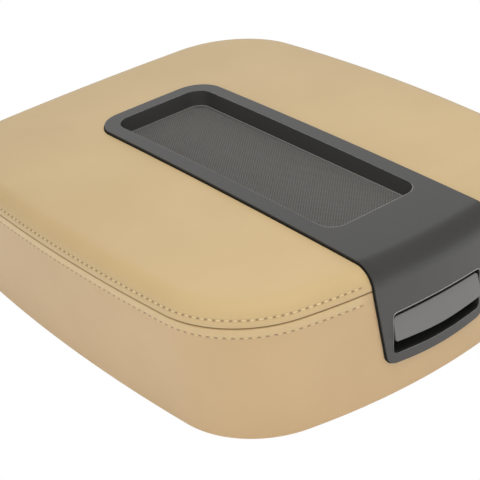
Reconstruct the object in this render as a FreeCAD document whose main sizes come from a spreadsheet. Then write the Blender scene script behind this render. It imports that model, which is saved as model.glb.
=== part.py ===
"""Padded center console lid with a tray bezel, a pull latch and a rear hinge.

Frame: +X to the right, +Y to the rear, +Z up, millimetres. The origin is the
centre of the four hinge bolts on the underside of the hinge base plate. Every
piece is drawn about the middle of the lid and then shifted by its Placement.
"""
import FreeCAD, Part
import math
import os
from types import SimpleNamespace

import Sketcher

V = FreeCAD.Vector

# Driving dimensions, one spreadsheet cell each
SIZES = {
    # cushion
    "lid_width": 320, "lid_length": 390, "front_bow": 31.5, "side_bow": 12.4, "rear_bow": 3.6,
    "corner_radius": 72.5, "wall_draft": 5.3, "top_height": 103.6, "shoulder_drop": 20.8,
    "crown_radius": 7300, "edge_radius": 13.2, "seam_rise": 3.6, "seam_gap": 0.3,
    # layers from the outside in
    "leather_thickness": 1.6, "layer_gap": 0.2, "foam_thickness": 6, "shell_wall": 3,
    "hem_width": 13,
    # tray bezel
    "bezel_proud": 2.3, "bezel_rear_half": 52.8, "bezel_front_flare": 0.6, "bezel_rear_margin": 81.1,
    "bezel_rear_radius": 22, "bezel_lap": 5, "apron_lap": 3, "bezel_wall": 2.5,
    "apron_low_inset": 9.9, "apron_high_flare": 4.4, "apron_high_rise": 8.4, "apron_side_border": 7.2,
    "apron_low_border": 8.4, "apron_low_radius": 260, "apron_corner_radius": 8.5,
    # tray well and mat
    "tray_border": 13.2, "tray_rear_border": 11.3, "deck_length": 53.7, "well_radius": 13,
    "well_taper": 0.8, "well_draft": 1.5, "well_depth": 11.2, "mat_thickness": 1.5, "mat_gap": 0.4,
    # tub of the shell and the bezel's screw bosses
    "tub_clearance": 0.5, "boss_height": 4, "bezel_boss_radius": 3.5, "bezel_screw_inset": 11.8,
    "bezel_screw_rear_inset": 22.9, "bezel_screw_front_inset": 23.8,
    # latch pocket
    "pocket_border": 4.9, "pocket_drop": 18.2, "pocket_height": 33.3, "pocket_side_height": 30.4,
    "pocket_low_radius": 250, "pocket_corner_radius": 3.5, "pocket_depth": 23, "pocket_wall": 2,
    # latch handle
    "paddle_clearance": 0.5, "paddle_top_gap": 2.3, "paddle_height": 21.6, "paddle_side_height": 18.3,
    "paddle_low_radius": 200, "paddle_corner_radius": 3, "paddle_low_corner": 1, "paddle_thickness": 2.4,
    "paddle_recess": 1.3, "paddle_lip": 3, "pivot_depth": 6.2, "pivot_drop": 5.4,
    "lug_radius": 3.4, "lug_inner_inset": 15.6, "lug_outer_inset": 9.6, "lever_half": 4,
    "lever_tip_depth": 21, "lever_tip_drop": 10.9, "lever_tip_height": 4, "lever_tip_length": 6,
    # latch hook
    "hook_depth": 41, "hook_drop": 18.4, "hook_half": 5, "hook_arm_tip_depth": 16.5,
    "hook_arm_depth": 4.7, "hook_arm_gap": 0.3, "hook_leg_width": 8, "nose_low_z": 2.3,
    "nose_height": 6, "nose_reach": 8, "ear_gap": 5, "ear_thickness": 2.5, "ear_radius": 5.5,
    "window_clearance": 1.2, "window_depth": 14,
    # small pins
    "small_pin_radius": 1.25, "pin_clearance": 0.05, "spring_wire": 1, "spring_turns": 3,
    "spring_pitch": 1.15, "spring_clearance": 0.4, "spring_leg": 9,
    # hinge
    "leaf_thickness": 2.5, "leaf_gap": 4, "leaf_half": 85, "leaf_front_margin": 63,
    "hinge_axis_margin": 2, "hinge_pin_radius": 2.3, "knuckle_length": 32, "knuckle_gap": 0.4,
    "leaf_clearance": 0.6, "notch_clearance": 1.5, "pin_overhang": 4, "clip_radius": 4.2,
    "clip_thickness": 1.2, "bolt_margin": 37, "bolt_spacing_x": 90, "bolt_spacing_y": 24,
    "bolt_hole_radius": 3.25,
    # liner, stops and screws
    "liner_thickness": 3, "liner_clearance": 0.5, "panel_depth": 1.2, "panel_side_margin": 68,
    "panel_rear_margin": 77, "panel_front_margin": 71, "panel_radius": 18, "stop_radius": 6,
    "stop_height": 4, "stop_stem_radius": 2.5, "stop_side_margin": 44, "stop_end_margin": 77,
    "shell_boss_radius": 4.5, "screw_radius": 1.5, "screw_head_radius": 3.6, "screw_head_height": 2,
    "screw_bite": 10, "mid_screw_side_margin": 32, "rear_screw_side_margin": 52,
    "front_screw_side_margin": 72, "screw_end_margin": 53, "hinge_screw_x": 65,
    "hinge_screw_rear_margin": 29, "hinge_screw_front_margin": 49,
    # room that cutting tools have past the piece
    "over": 30,
}

doc = FreeCAD.newDocument("console_lid")
sheet = doc.addObject("Spreadsheet::Sheet", "sizes")


class Size:
    """A length held both as a number and as the formula that binds it to the sheet."""

    def __init__(self, value, text):
        self.value = value
        self.text = text

    def __add__(self, other):
        other = sized(other)
        return Size(self.value + other.value, f"({self.text} + {other.text})")

    def __sub__(self, other):
        other = sized(other)
        return Size(self.value - other.value, f"({self.text} - {other.text})")

    def __rsub__(self, other):
        return sized(other) - self

    def __mul__(self, other):
        other = sized(other)
        return Size(self.value * other.value, f"({self.text} * {other.text})")

    def __truediv__(self, other):
        other = sized(other)
        return Size(self.value / other.value, f"({self.text} / {other.text})")

    def __neg__(self):
        return Size(-self.value, f"(0 - {self.text})")

    __radd__ = __add__
    __rmul__ = __mul__


def sized(number):
    """A plain number as a Size."""
    return number if isinstance(number, Size) else Size(float(number), str(number))


def fill_sheet():
    """Write the driving dimensions and give each one back as a Size."""
    for row, (alias, number) in enumerate(SIZES.items(), 1):
        sheet.set(f"A{row}", alias)
        sheet.set(f"B{row}", str(number))
        sheet.setAlias(f"B{row}", alias)
    doc.recompute()
    return SimpleNamespace(**{name: Size(float(sheet.get(name)), f"sizes.{name}") for name in SIZES})


d = fill_sheet()

# Places that follow from the lid's ends, its sides and its top
FRONT = -d.lid_length / 2
REAR = d.lid_length / 2
SIDE = d.lid_width / 2
d.shoulder_height = d.top_height - d.shoulder_drop
d.seam_height = d.shoulder_height + d.seam_rise
d.bezel_front_half = d.bezel_rear_half + d.bezel_front_flare
d.bezel_rear_y = REAR - d.bezel_rear_margin
d.well_half = d.bezel_rear_half - d.tray_border
d.well_rear_y = d.bezel_rear_y - d.tray_rear_border
d.well_front_y = FRONT + d.deck_length
d.well_floor_z = d.top_height - d.well_depth
d.bezel_screw_x = d.well_half - d.bezel_screw_inset
d.bezel_screw_rear_y = d.well_rear_y - d.bezel_screw_rear_inset
d.bezel_screw_front_y = d.well_front_y + d.bezel_screw_front_inset
d.apron_low_half = d.bezel_rear_half - d.apron_low_inset
d.apron_high_half = d.bezel_rear_half + d.apron_high_flare
d.apron_high_z = d.top_height + d.apron_high_rise
d.pocket_half = d.apron_low_half - d.pocket_border
d.pocket_top_z = d.shoulder_height - d.pocket_drop
d.pocket_low_z = d.pocket_top_z - d.pocket_height
d.pocket_side_z = d.pocket_top_z - d.pocket_side_height
d.pocket_back_y = FRONT + d.pocket_depth
d.apron_side_z = d.pocket_side_z - d.apron_side_border
d.apron_low_z = d.pocket_low_z - d.apron_low_border
d.paddle_top_z = d.pocket_top_z - d.paddle_top_gap
d.paddle_low_z = d.paddle_top_z - d.paddle_height
d.paddle_side_z = d.paddle_top_z - d.paddle_side_height
d.pivot_y = FRONT + d.pivot_depth
d.pivot_z = d.pocket_top_z - d.pivot_drop
d.lug_inner_x = d.pocket_half - d.lug_inner_inset
d.lug_outer_x = d.pocket_half - d.lug_outer_inset
d.lever_tip_y = FRONT + d.lever_tip_depth
d.lever_tip_z = d.pocket_top_z - d.lever_tip_drop
d.hook_y = FRONT + d.hook_depth
d.hook_z = d.pocket_top_z - d.hook_drop
d.hook_arm_tip_y = FRONT + d.hook_arm_tip_depth
d.leaf_front_y = REAR - d.leaf_front_margin
d.hinge_axis_y = REAR - d.hinge_axis_margin
d.bolt_y = REAR - d.bolt_margin
d.panel_half = SIDE - d.panel_side_margin
d.panel_rear_y = REAR - d.panel_rear_margin
d.panel_front_y = FRONT + d.panel_front_margin
d.stop_x = SIDE - d.stop_side_margin
d.stop_rear_y = REAR - d.stop_end_margin
d.stop_front_y = FRONT + d.stop_end_margin
d.liner_screw_mid_x = SIDE - d.mid_screw_side_margin
d.liner_screw_rear_x = SIDE - d.rear_screw_side_margin
d.liner_screw_rear_y = REAR - d.screw_end_margin
d.liner_screw_front_x = SIDE - d.front_screw_side_margin
d.liner_screw_front_y = FRONT + d.screw_end_margin
d.hinge_screw_rear_y = REAR - d.hinge_screw_rear_margin
d.hinge_screw_front_y = REAR - d.hinge_screw_front_margin


# Helpers for sketches and features

def bind(thing, prop, size):
    """Tie a property to the sheet."""
    thing.setExpression(prop, sized(size).text)


def new_body(name):
    """An empty body."""
    return doc.addObject("PartDesign::Body", name)


def new_sketch(body, name, role, offset=0, shift=0):
    """A sketch on an origin plane, moved along its normal and along its first axis."""
    plane = next(item for item in body.Origin.OriginFeatures if item.Role == role)
    sketch = body.newObject("Sketcher::SketchObject", name)
    sketch.AttachmentSupport = [(plane, "")]
    sketch.MapMode = "FlatFace"
    bind(sketch, "AttachmentOffset.Base.z", offset)
    bind(sketch, "AttachmentOffset.Base.x", shift)
    return sketch


def dimension(sketch, name, constraint, size):
    """A named driving constraint."""
    index = sketch.addConstraint(constraint)
    sketch.renameConstraint(index, name)
    sketch.setExpression(f".Constraints.{name}", size.text)


def place_point(sketch, name, geometry, point, x, y):
    """Fix a point of the sketch by its two coordinates."""
    for axis, kind, across, size in (("x", "DistanceX", -2, x), ("y", "DistanceY", -1, y)):
        if size.text in ("0", "(0 - 0)"):
            sketch.addConstraint(Sketcher.Constraint("PointOnObject", geometry, point, across))
        else:
            rule = Sketcher.Constraint(kind, -1, 1, geometry, point, size.value)
            dimension(sketch, f"{name}_{axis}", rule, size)


def corner_arc(before, here, after, radius):
    """The arc that rounds a corner, its two ends, and whether it turns to the left."""
    back = (before - here).normalize()
    ahead = (after - here).normalize()
    half = math.acos(max(-1, min(1, back.dot(ahead)))) / 2
    start = here + back * (radius / math.tan(half))
    end = here + ahead * (radius / math.tan(half))
    centre = here + (back + ahead).normalize() * (radius / math.sin(half))
    left = (here - before).cross(after - here).z > 0
    first, last = (start, end) if left else (end, start)
    angles = [math.atan2(p.y - centre.y, p.x - centre.x) for p in (first, last)]
    if angles[1] < angles[0]:
        angles[1] += 2 * math.pi
    arc = Part.ArcOfCircle(Part.Circle(centre, V(0, 0, 1), radius), angles[0], angles[1])
    return arc, start, end, left


def profile(body, name, role, corners, offset=0, shift=0):
    """A closed outline of straight sides whose corners (x, y, radius) may be rounded."""
    sketch = new_sketch(body, name, role, offset, shift)
    corners = [tuple(sized(part) for part in corner) for corner in corners]
    points = [V(x.value, y.value, 0) for x, y, _ in corners]
    count = len(points)
    ends = []
    for i, (x, y, radius) in enumerate(corners):
        if radius.value:
            ends.append(corner_arc(points[i - 1], points[i], points[(i + 1) % count], radius.value))
        else:
            ends.append((None, points[i], points[i], True))
    lines = []
    for i in range(count):
        lines.append(sketch.addGeometry(Part.LineSegment(ends[i][2], ends[(i + 1) % count][1]), False))
    for i, (x, y, radius) in enumerate(corners):
        before, after = lines[i - 1], lines[i]
        arc, _, _, left = ends[i]
        if arc is None:
            sketch.addConstraint(Sketcher.Constraint("Coincident", before, 2, after, 1))
            place_point(sketch, f"corner_{i}", after, 1, x, y)
            continue
        curve = sketch.addGeometry(arc, False)
        sketch.addConstraint(Sketcher.Constraint("Tangent", before, 2, curve, 1 if left else 2))
        sketch.addConstraint(Sketcher.Constraint("Tangent", curve, 2 if left else 1, after, 1))
        dimension(sketch, f"corner_{i}_radius", Sketcher.Constraint("Radius", curve, radius.value), radius)
        tip = sketch.addGeometry(Part.Point(points[i]), True)
        sketch.addConstraint(Sketcher.Constraint("PointOnObject", tip, 1, before))
        sketch.addConstraint(Sketcher.Constraint("PointOnObject", tip, 1, after))
        place_point(sketch, f"corner_{i}", tip, 1, x, y)
    return sketch


def circles(body, name, role, centres, radius, offset=0):
    """A sketch of equal circles."""
    sketch = new_sketch(body, name, role, offset)
    for i, (x, y) in enumerate(centres):
        x, y = sized(x), sized(y)
        ring = Part.Circle(V(x.value, y.value, 0), V(0, 0, 1), radius.value)
        index = sketch.addGeometry(ring, False)
        dimension(sketch, f"ring_{i}_radius", Sketcher.Constraint("Radius", index, radius.value), radius)
        place_point(sketch, f"ring_{i}", index, 3, x, y)
    return sketch


def pad(body, sketch, length, both=False):
    """Pad a sketch along its normal, or half to each side."""
    feature = body.newObject("PartDesign::Pad", sketch.Name + "_pad")
    feature.Profile = sketch
    bind(feature, "Length", length)
    feature.SideType = "Symmetric" if both else "One side"
    return feature


def prism(name, role, corners, offset, length, both=False):
    """A body that is one padded outline."""
    body = new_body(name)
    pad(body, profile(body, name + "_outline", role, corners, offset), length, both)
    return body


def rods(name, role, centres, radius, offset, length):
    """A body of equal round rods."""
    body = new_body(name)
    pad(body, circles(body, name + "_rings", role, centres, radius, offset), length)
    return body


def boolean(kind, name, parts):
    """Fuse, cut or intersect objects of the document."""
    if kind == "Cut":
        result = doc.addObject("Part::Cut", name)
        result.Base, result.Tool = parts
    else:
        result = doc.addObject(f"Part::Multi{kind}", name)
        result.Shapes = parts
    return result


def cut(name, base, *tools):
    """The base less every tool."""
    for i, tool in enumerate(tools):
        last = i == len(tools) - 1
        base = boolean("Cut", name if last else f"{name}_cut_{i}", (base, tool))
    return base


def fuse(name, *parts):
    """All parts joined into one solid."""
    return boolean("Fuse", name, list(parts))


def common(name, *parts):
    """What all parts share."""
    return boolean("Common", name, list(parts))


def rectangle(half, low, high, radius):
    """Corners of a rectangle that is symmetric about the first axis's zero."""
    return [(-half, low, radius), (half, low, radius), (half, high, radius), (-half, high, radius)]


# The cushion's form: bowed plan outline, drafted wall, crowned top, rounded edge

def bow_radius(chord, bow):
    """Radius of an arc with this chord and rise."""
    return (chord * chord / 4 + bow * bow) / (2 * bow)


FRONT_RADIUS = bow_radius(d.lid_width, d.front_bow)
REAR_RADIUS = bow_radius(d.lid_width, d.rear_bow)
SIDE_RADIUS = bow_radius(d.lid_length, d.side_bow)
FRONT_CENTRE = FRONT + FRONT_RADIUS


def corner_centre(first, first_reach, second, second_reach, side):
    """Where two circles round the given centres meet, on the given side."""
    gap = second - first
    along = (first_reach ** 2 - second_reach ** 2 + gap.Length ** 2) / (2 * gap.Length)
    across = math.sqrt(first_reach ** 2 - along ** 2)
    foot = first + gap * (along / gap.Length)
    turn = V(-gap.y, gap.x, 0) * (across / gap.Length)
    return max((foot + turn, foot - turn), key=lambda point: point.dot(side))


def plan_outline(body, name, height, inset):
    """The plan outline of four bowed sides and four round corners, set in by a distance."""
    sketch = new_sketch(body, name, "XY_Plane", height)
    corner = d.corner_radius.value
    sides = [
        ("front", FRONT_RADIUS, sized(0), FRONT_CENTRE),
        ("right", SIDE_RADIUS, SIDE - SIDE_RADIUS, sized(0)),
        ("rear", REAR_RADIUS, sized(0), REAR - REAR_RADIUS),
        ("left", SIDE_RADIUS, SIDE_RADIUS - SIDE, sized(0)),
    ]
    towards = [V(1, -1, 0), V(1, 1, 0), V(-1, 1, 0), V(-1, -1, 0)]
    centres = [V(x.value, y.value, 0) for _, _, x, y in sides]
    rounds = []
    for i in range(4):
        reach = [sides[j % 4][1].value - corner for j in (i, i + 1)]
        rounds.append(corner_centre(centres[i], reach[0], centres[(i + 1) % 4], reach[1], towards[i]))

    def arc(centre, radius, start, end):
        angles = [math.atan2(p.y - q.y, p.x - q.x) for p, q in (start, end)]
        if angles[1] < angles[0]:
            angles[1] += 2 * math.pi
        ring = Part.Circle(centre, V(0, 0, 1), radius - inset.value)
        return sketch.addGeometry(Part.ArcOfCircle(ring, angles[0], angles[1]), False)

    order = []
    for i, (side, radius, x, y) in enumerate(sides):
        curve = arc(centres[i], radius.value, (rounds[i - 1], centres[i]), (rounds[i], centres[i]))
        bowed = radius - inset
        dimension(sketch, f"{side}_radius", Sketcher.Constraint("Radius", curve, bowed.value), bowed)
        place_point(sketch, f"{side}_centre", curve, 3, x, y)
        bend = arc(rounds[i], corner, (rounds[i], centres[i]), (rounds[i], centres[(i + 1) % 4]))
        bent = d.corner_radius - inset
        dimension(sketch, f"{side}_corner", Sketcher.Constraint("Radius", bend, bent.value), bent)
        order += [curve, bend]
    for before, after in zip(order, order[1:] + order[:1]):
        sketch.addConstraint(Sketcher.Constraint("Tangent", before, 2, after, 1))
    return sketch


def crown_profile(body, name, inset):
    """Half section of what is cut away above the crown."""
    sketch = new_sketch(body, name, "XZ_Plane")
    radius = d.crown_radius - inset
    centre = d.top_height - d.crown_radius
    reach = d.lid_length
    roof = d.top_height + 3 * d.over
    start = centre.value + math.sqrt(radius.value ** 2 - reach.value ** 2)
    slope = math.atan2(start - centre.value, reach.value)
    ring = Part.Circle(V(0, centre.value, 0), V(0, 0, 1), radius.value)
    top = V(0, centre.value + radius.value, 0)
    corners = [top, V(0, roof.value, 0), V(reach.value, roof.value, 0), V(reach.value, start, 0)]
    dome = sketch.addGeometry(Part.ArcOfCircle(ring, slope, math.pi / 2), False)
    lines = [sketch.addGeometry(Part.LineSegment(p, q), False) for p, q in zip(corners, corners[1:])]
    loop = [(dome, 2), (lines[0], 1), (lines[0], 2), (lines[1], 1), (lines[1], 2), (lines[2], 1),
            (lines[2], 2), (dome, 1)]
    for one, other in zip(loop[::2], loop[1::2]):
        sketch.addConstraint(Sketcher.Constraint("Coincident", *one, *other))
    sketch.addConstraint(Sketcher.Constraint("PointOnObject", dome, 2, -2))
    sketch.addConstraint(Sketcher.Constraint("Vertical", lines[0]))
    sketch.addConstraint(Sketcher.Constraint("Horizontal", lines[1]))
    sketch.addConstraint(Sketcher.Constraint("Vertical", lines[2]))
    dimension(sketch, "crown", Sketcher.Constraint("Radius", dome, radius.value), radius)
    place_point(sketch, "crown_centre", dome, 3, sized(0), centre)
    place_point(sketch, "roof", lines[1], 2, reach, roof)
    return sketch


def cushion(name, inset):
    """The lid's outer form, set in by a distance, or set out where it is negative."""
    body = new_body(name)
    high = d.top_height + d.over
    flare = d.wall_draft * (high - d.shoulder_height) / d.shoulder_height
    low_outline = plan_outline(body, name + "_low", 0, d.wall_draft + inset)
    high_outline = plan_outline(body, name + "_high", high, inset - flare)
    wall = body.newObject("PartDesign::AdditiveLoft", name + "_wall")
    wall.Profile = low_outline
    wall.Sections = [high_outline]
    wall.Ruled = True
    crown = body.newObject("PartDesign::Groove", name + "_crown")
    crown.Profile = crown_profile(body, name + "_crown_section", inset)
    crown.ReferenceAxis = (crown.Profile[0], ["V_Axis"])
    crown.Angle = 360
    doc.recompute()
    rim = []
    for i, edge in enumerate(crown.Shape.Edges, 1):
        clear_of_axis = all(math.hypot(v.X, v.Y) > 1 for v in edge.Vertexes)
        if clear_of_axis and edge.BoundBox.ZMin > d.shoulder_height.value - d.edge_radius.value:
            rim.append(f"Edge{i}")
    edge_round = body.newObject("PartDesign::Fillet", name + "_edge")
    edge_round.Base = (crown, rim)
    bind(edge_round, "Radius", d.edge_radius - inset)
    return body


LEATHER_IN = d.leather_thickness
FOAM_OUT = LEATHER_IN + d.layer_gap
FOAM_IN = FOAM_OUT + d.foam_thickness
SHELL_OUT = FOAM_IN + d.layer_gap
SHELL_IN = SHELL_OUT + d.shell_wall

bezel_face = cushion("bezel_face", -d.bezel_proud)
bezel_seat = cushion("bezel_seat", -d.layer_gap)
leather_face = cushion("leather_face", sized(0))
leather_back = cushion("leather_back", LEATHER_IN)
foam_face = cushion("foam_face", FOAM_OUT)
foam_back = cushion("foam_back", FOAM_IN)
shell_face = cushion("shell_face", SHELL_OUT)
shell_back = cushion("shell_back", SHELL_IN)

ROOF = d.top_height + d.over
BELOW = -d.over
FAR = REAR + d.over


def block(name, half, low_y, high_y, low_z, high_z):
    """A square block that is symmetric about the lid's middle plane."""
    return prism(name, "XY_Plane", rectangle(half, low_y, high_y, 0), low_z, high_z - low_z)


# Heights shared by the hinge, the rim and the liner
LEAF_TOP = 2 * d.leaf_thickness + d.leaf_gap
LINER_TOP = LEAF_TOP + d.liner_thickness
RIM_Z = d.leather_thickness + d.layer_gap
NOTCH_TOP = LEAF_TOP + d.leaf_clearance
NOTCH_HALF = d.leaf_half + d.notch_clearance

hinge_notch = block("hinge_notch", NOTCH_HALF, d.leaf_front_y, FAR, BELOW, NOTCH_TOP)


# Bezel outline: plan of the top and elevation of the front apron

def bezel_plan(name, lap):
    """Prism of the bezel's plan, set in by the lap over the leather."""
    rear = d.bezel_rear_half - lap
    front = d.bezel_front_half - lap
    rear_y = d.bezel_rear_y - lap
    radius = d.bezel_rear_radius - lap
    corners = [(-front, -FAR, 0), (front, -FAR, 0), (rear, rear_y, radius), (-rear, rear_y, radius)]
    return prism(name, "XY_Plane", corners, 0, ROOF)


def bezel_front(name, lap):
    """Prism of the apron's elevation, set in by the lap over the leather."""
    low = d.apron_low_half - lap
    high = d.apron_high_half - lap
    side_z = d.apron_side_z + lap
    radius = d.apron_corner_radius - lap
    corners = [(0, d.apron_low_z + lap, d.apron_low_radius), (low, side_z, radius),
               (high, d.apron_high_z, 0), (high, ROOF, 0), (-high, ROOF, 0),
               (-high, d.apron_high_z, 0), (-low, side_z, radius)]
    return prism(name, "XZ_Plane", corners, 0, 2 * FAR, both=True)


leather_cut = common("leather_cut", bezel_plan("leather_cut_plan", d.bezel_lap),
                     bezel_front("leather_cut_front", d.apron_lap))

# Leather cover and foam
above_seam = block("above_seam", FAR, -FAR, FAR, d.seam_height - d.seam_gap / 2, ROOF)
below_seam = block("below_seam", FAR, -FAR, FAR, BELOW, d.seam_height + d.seam_gap / 2)
skin = cut("leather_skin", leather_face, leather_back)
leather_top_panel = cut("leather_top_panel", skin, leather_cut, below_seam)

hem_room = new_body("hem_room")
hem_inset = d.wall_draft + d.hem_width
pad(hem_room, plan_outline(hem_room, "hem_room_outline", BELOW, hem_inset), 2 * d.over)
hem_slab = block("hem_slab", FAR, -FAR, FAR, BELOW, d.leather_thickness)
hem = cut("hem", common("hem_plate", leather_face, hem_slab), hem_room)
band_wall = cut("band_wall", skin, leather_cut, above_seam)
leather_side_band = cut("leather_side_band", fuse("band_and_hem", band_wall, hem), hinge_notch)

rim_slab = block("rim_slab", FAR, -FAR, FAR, BELOW, RIM_Z)
foam_pad = cut("foam_pad", foam_face, foam_back, leather_cut, rim_slab, hinge_notch)

# Tray well, from the floor up to the bezel's face
WELL_UNDER = d.well_floor_z - d.bezel_wall


def well_corners(grow):
    """Corners of the well, which widens to the rear, grown by a distance."""
    front_half = d.well_half - d.well_taper + grow
    rear_half = d.well_half + d.well_taper + grow
    front_y = d.well_front_y - grow
    rear_y = d.well_rear_y + grow
    radius = d.well_radius + grow
    return [(-front_half, front_y, radius), (front_half, front_y, radius), (rear_half, rear_y, radius),
            (-rear_half, rear_y, radius)]


def well_prism(name, grow, low_z):
    """Upright prism round the well, grown by a wall or a clearance."""
    return prism(name, "XY_Plane", well_corners(grow), low_z, ROOF - low_z)


def well_outline(body, name, height, inset):
    """The well's opening, set in as the drafted walls go down."""
    return profile(body, name, "XY_Plane", well_corners(-inset), height)


well_room = new_body("well_room")
well_walls = well_room.newObject("PartDesign::AdditiveLoft", "well_room_walls")
well_walls.Profile = well_outline(well_room, "well_floor_outline", d.well_floor_z, d.well_draft)
well_flare = d.well_draft * (ROOF - d.top_height) / (d.top_height - d.well_floor_z)
well_walls.Sections = [well_outline(well_room, "well_mouth_outline", ROOF, -well_flare)]
well_walls.Ruled = True
well_body = common("well_body", well_prism("well_block", d.bezel_wall, WELL_UNDER), bezel_face)


# Latch pocket behind the apron
def pocket_prism(name, grow, back_y):
    """Prism of the pocket's mouth, grown by a wall or a clearance, back to a depth."""
    half = d.pocket_half + grow
    side_z = d.pocket_side_z - grow
    top_z = d.pocket_top_z + grow
    low_radius = d.pocket_low_radius + grow
    radius = d.pocket_corner_radius + grow
    corners = [(0, d.pocket_low_z - grow, low_radius), (half, side_z, radius), (half, top_z, radius),
               (-half, top_z, radius), (-half, side_z, radius)]
    return prism(name, "XZ_Plane", corners, -back_y, FAR + back_y)


POCKET_REAR = d.pocket_back_y + d.pocket_wall
pocket_body = common("pocket_body", pocket_prism("pocket_block", d.pocket_wall, POCKET_REAR), bezel_face)
pocket_room = pocket_prism("pocket_room", sized(0), d.pocket_back_y)

# Bosses under the well and ears behind the pocket that carry the latch
BEZEL_SCREWS = [(x, y) for x in (-d.bezel_screw_x, d.bezel_screw_x)
                for y in (d.bezel_screw_front_y, d.bezel_screw_rear_y)]
TUB_FLOOR = WELL_UNDER - d.boss_height
PILOT = d.screw_radius + d.pin_clearance
SMALL_BORE = d.small_pin_radius + d.pin_clearance
EAR_IN = d.hook_half + d.ear_gap
EAR_OUT = EAR_IN + d.ear_thickness

bezel_bosses = rods("bezel_bosses", "XY_Plane", BEZEL_SCREWS, d.bezel_boss_radius, TUB_FLOOR,
                    d.boss_height + d.bezel_wall / 2)
bezel_pilots = rods("bezel_pilots", "XY_Plane", BEZEL_SCREWS, PILOT, TUB_FLOOR - d.over,
                    d.over + d.boss_height + d.bezel_wall / 2)
ear_corners = [(d.pocket_back_y + d.pocket_wall / 2, d.hook_z - d.ear_radius, 0),
               (d.hook_y + d.ear_radius, d.hook_z - d.ear_radius, d.ear_radius / 2),
               (d.hook_y + d.ear_radius, d.hook_z + d.ear_radius, d.ear_radius / 2),
               (d.pocket_back_y + d.pocket_wall / 2, d.hook_z + d.ear_radius, 0)]
left_ear = prism("left_ear", "YZ_Plane", ear_corners, -EAR_OUT, d.ear_thickness)
right_ear = prism("right_ear", "YZ_Plane", ear_corners, EAR_IN, d.ear_thickness)

LEVER_TOP = d.lever_tip_z + d.lever_tip_height
ARM_TOP = d.lever_tip_z - d.hook_arm_gap
arm_window = block("arm_window", d.hook_half + d.window_clearance, d.pocket_back_y - d.pocket_wall,
                   POCKET_REAR + d.pocket_wall, ARM_TOP - d.window_depth, LEVER_TOP)


def cross_pin(name, half, y, z, radius):
    """A pin across the lid."""
    return rods(name, "YZ_Plane", [(y, z)], radius, -half, 2 * half)


HANDLE_PIN_HALF = d.pocket_half + d.pocket_wall
handle_bore = cross_pin("handle_bore", HANDLE_PIN_HALF, d.pivot_y, d.pivot_z, SMALL_BORE)
hook_bore = cross_pin("hook_bore", EAR_OUT + d.over, d.hook_y, d.hook_z, SMALL_BORE)

flange_block = common("flange_block", bezel_face, bezel_plan("bezel_plan", sized(0)),
                      bezel_front("bezel_front", sized(0)))
flange = cut("flange", flange_block, bezel_seat)
bezel_solid = fuse("bezel_solid", flange, well_body, pocket_body, bezel_bosses, left_ear, right_ear)
tray_bezel = cut("tray_bezel", bezel_solid, well_room, pocket_room, bezel_pilots, arm_window,
                 handle_bore, hook_bore)

MAT_INSET = d.well_draft + d.mat_gap
tray_mat = prism("tray_mat", "XY_Plane", well_corners(-MAT_INSET), d.well_floor_z, d.mat_thickness)

# Shell with its tub and screw bosses
LINER_SCREWS = [(sign * x, y) for sign in (-1, 1) for x, y in (
    (d.liner_screw_mid_x, sized(0)), (d.liner_screw_rear_x, d.liner_screw_rear_y),
    (d.liner_screw_front_x, d.liner_screw_front_y))]
HINGE_SCREWS = [(sign * d.hinge_screw_x, y) for sign in (-1, 1)
                for y in (d.hinge_screw_front_y, d.hinge_screw_rear_y)]

tub_grow = d.bezel_wall + d.tub_clearance
tub_room = well_prism("tub_room", tub_grow, TUB_FLOOR)
tub_block = well_prism("tub_block", tub_grow + d.shell_wall, TUB_FLOOR - d.shell_wall)
boss_rods = rods("boss_rods", "XY_Plane", LINER_SCREWS + HINGE_SCREWS, d.shell_boss_radius, LINER_TOP,
                 ROOF - LINER_TOP)
shell_inside = common("shell_inside", fuse("shell_inner_forms", boss_rods, tub_block), shell_face)
shell_pilots = rods("shell_pilots", "XY_Plane", LINER_SCREWS + HINGE_SCREWS, PILOT, BELOW,
                    d.over + LINER_TOP + d.screw_bite)
pocket_way = pocket_prism("pocket_way", d.pocket_wall + d.tub_clearance, POCKET_REAR)
shell_wall = cut("shell_wall", shell_face, shell_back)
lid_shell = cut("lid_shell", fuse("shell_solid", shell_wall, shell_inside), tub_room, pocket_way,
                shell_pilots, bezel_pilots, rim_slab, hinge_notch)

# Liner with its recessed panel, the slot for the hook and the holes for screws and stops
STOPS = [(sign * d.stop_x, y) for sign in (-1, 1) for y in (d.stop_front_y, d.stop_rear_y)]
LEG_REAR = d.hook_y + d.hook_leg_width / 2
LEG_FRONT = d.hook_y - d.hook_leg_width / 2
NOSE_TIP = LEG_FRONT - d.nose_reach

liner_plate = new_body("liner_plate")
liner_inset = d.wall_draft + SHELL_IN + d.liner_clearance
pad(liner_plate, plan_outline(liner_plate, "liner_outline", LEAF_TOP, liner_inset), d.liner_thickness)
panel_corners = rectangle(d.panel_half, d.panel_front_y, d.panel_rear_y, d.panel_radius)
liner_panel = prism("liner_panel", "XY_Plane", panel_corners, BELOW, d.over + LEAF_TOP + d.panel_depth)
hook_slot = block("hook_slot", EAR_IN, NOSE_TIP - d.ear_gap, LEG_REAR + 2 * d.hook_leg_width, BELOW,
                  LINER_TOP + d.over)
stop_holes = rods("stop_holes", "XY_Plane", STOPS, d.stop_stem_radius + d.pin_clearance, BELOW, 3 * d.over)
inner_liner = cut("inner_liner", liner_plate, liner_panel, hook_slot, stop_holes, shell_pilots)


# Screws, one node for each set
def screws(name, centres, seat_z, grip):
    """Pan-head screws that point up, with their heads under the seat."""
    body = new_body(name)
    heads = circles(body, name + "_heads", "XY_Plane", centres, d.screw_head_radius,
                    seat_z - d.screw_head_height)
    pad(body, heads, d.screw_head_height)
    shanks = circles(body, name + "_shanks", "XY_Plane", centres, d.screw_radius,
                     seat_z - d.screw_head_height / 2)
    pad(body, shanks, grip + d.screw_head_height / 2)
    return body


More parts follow.
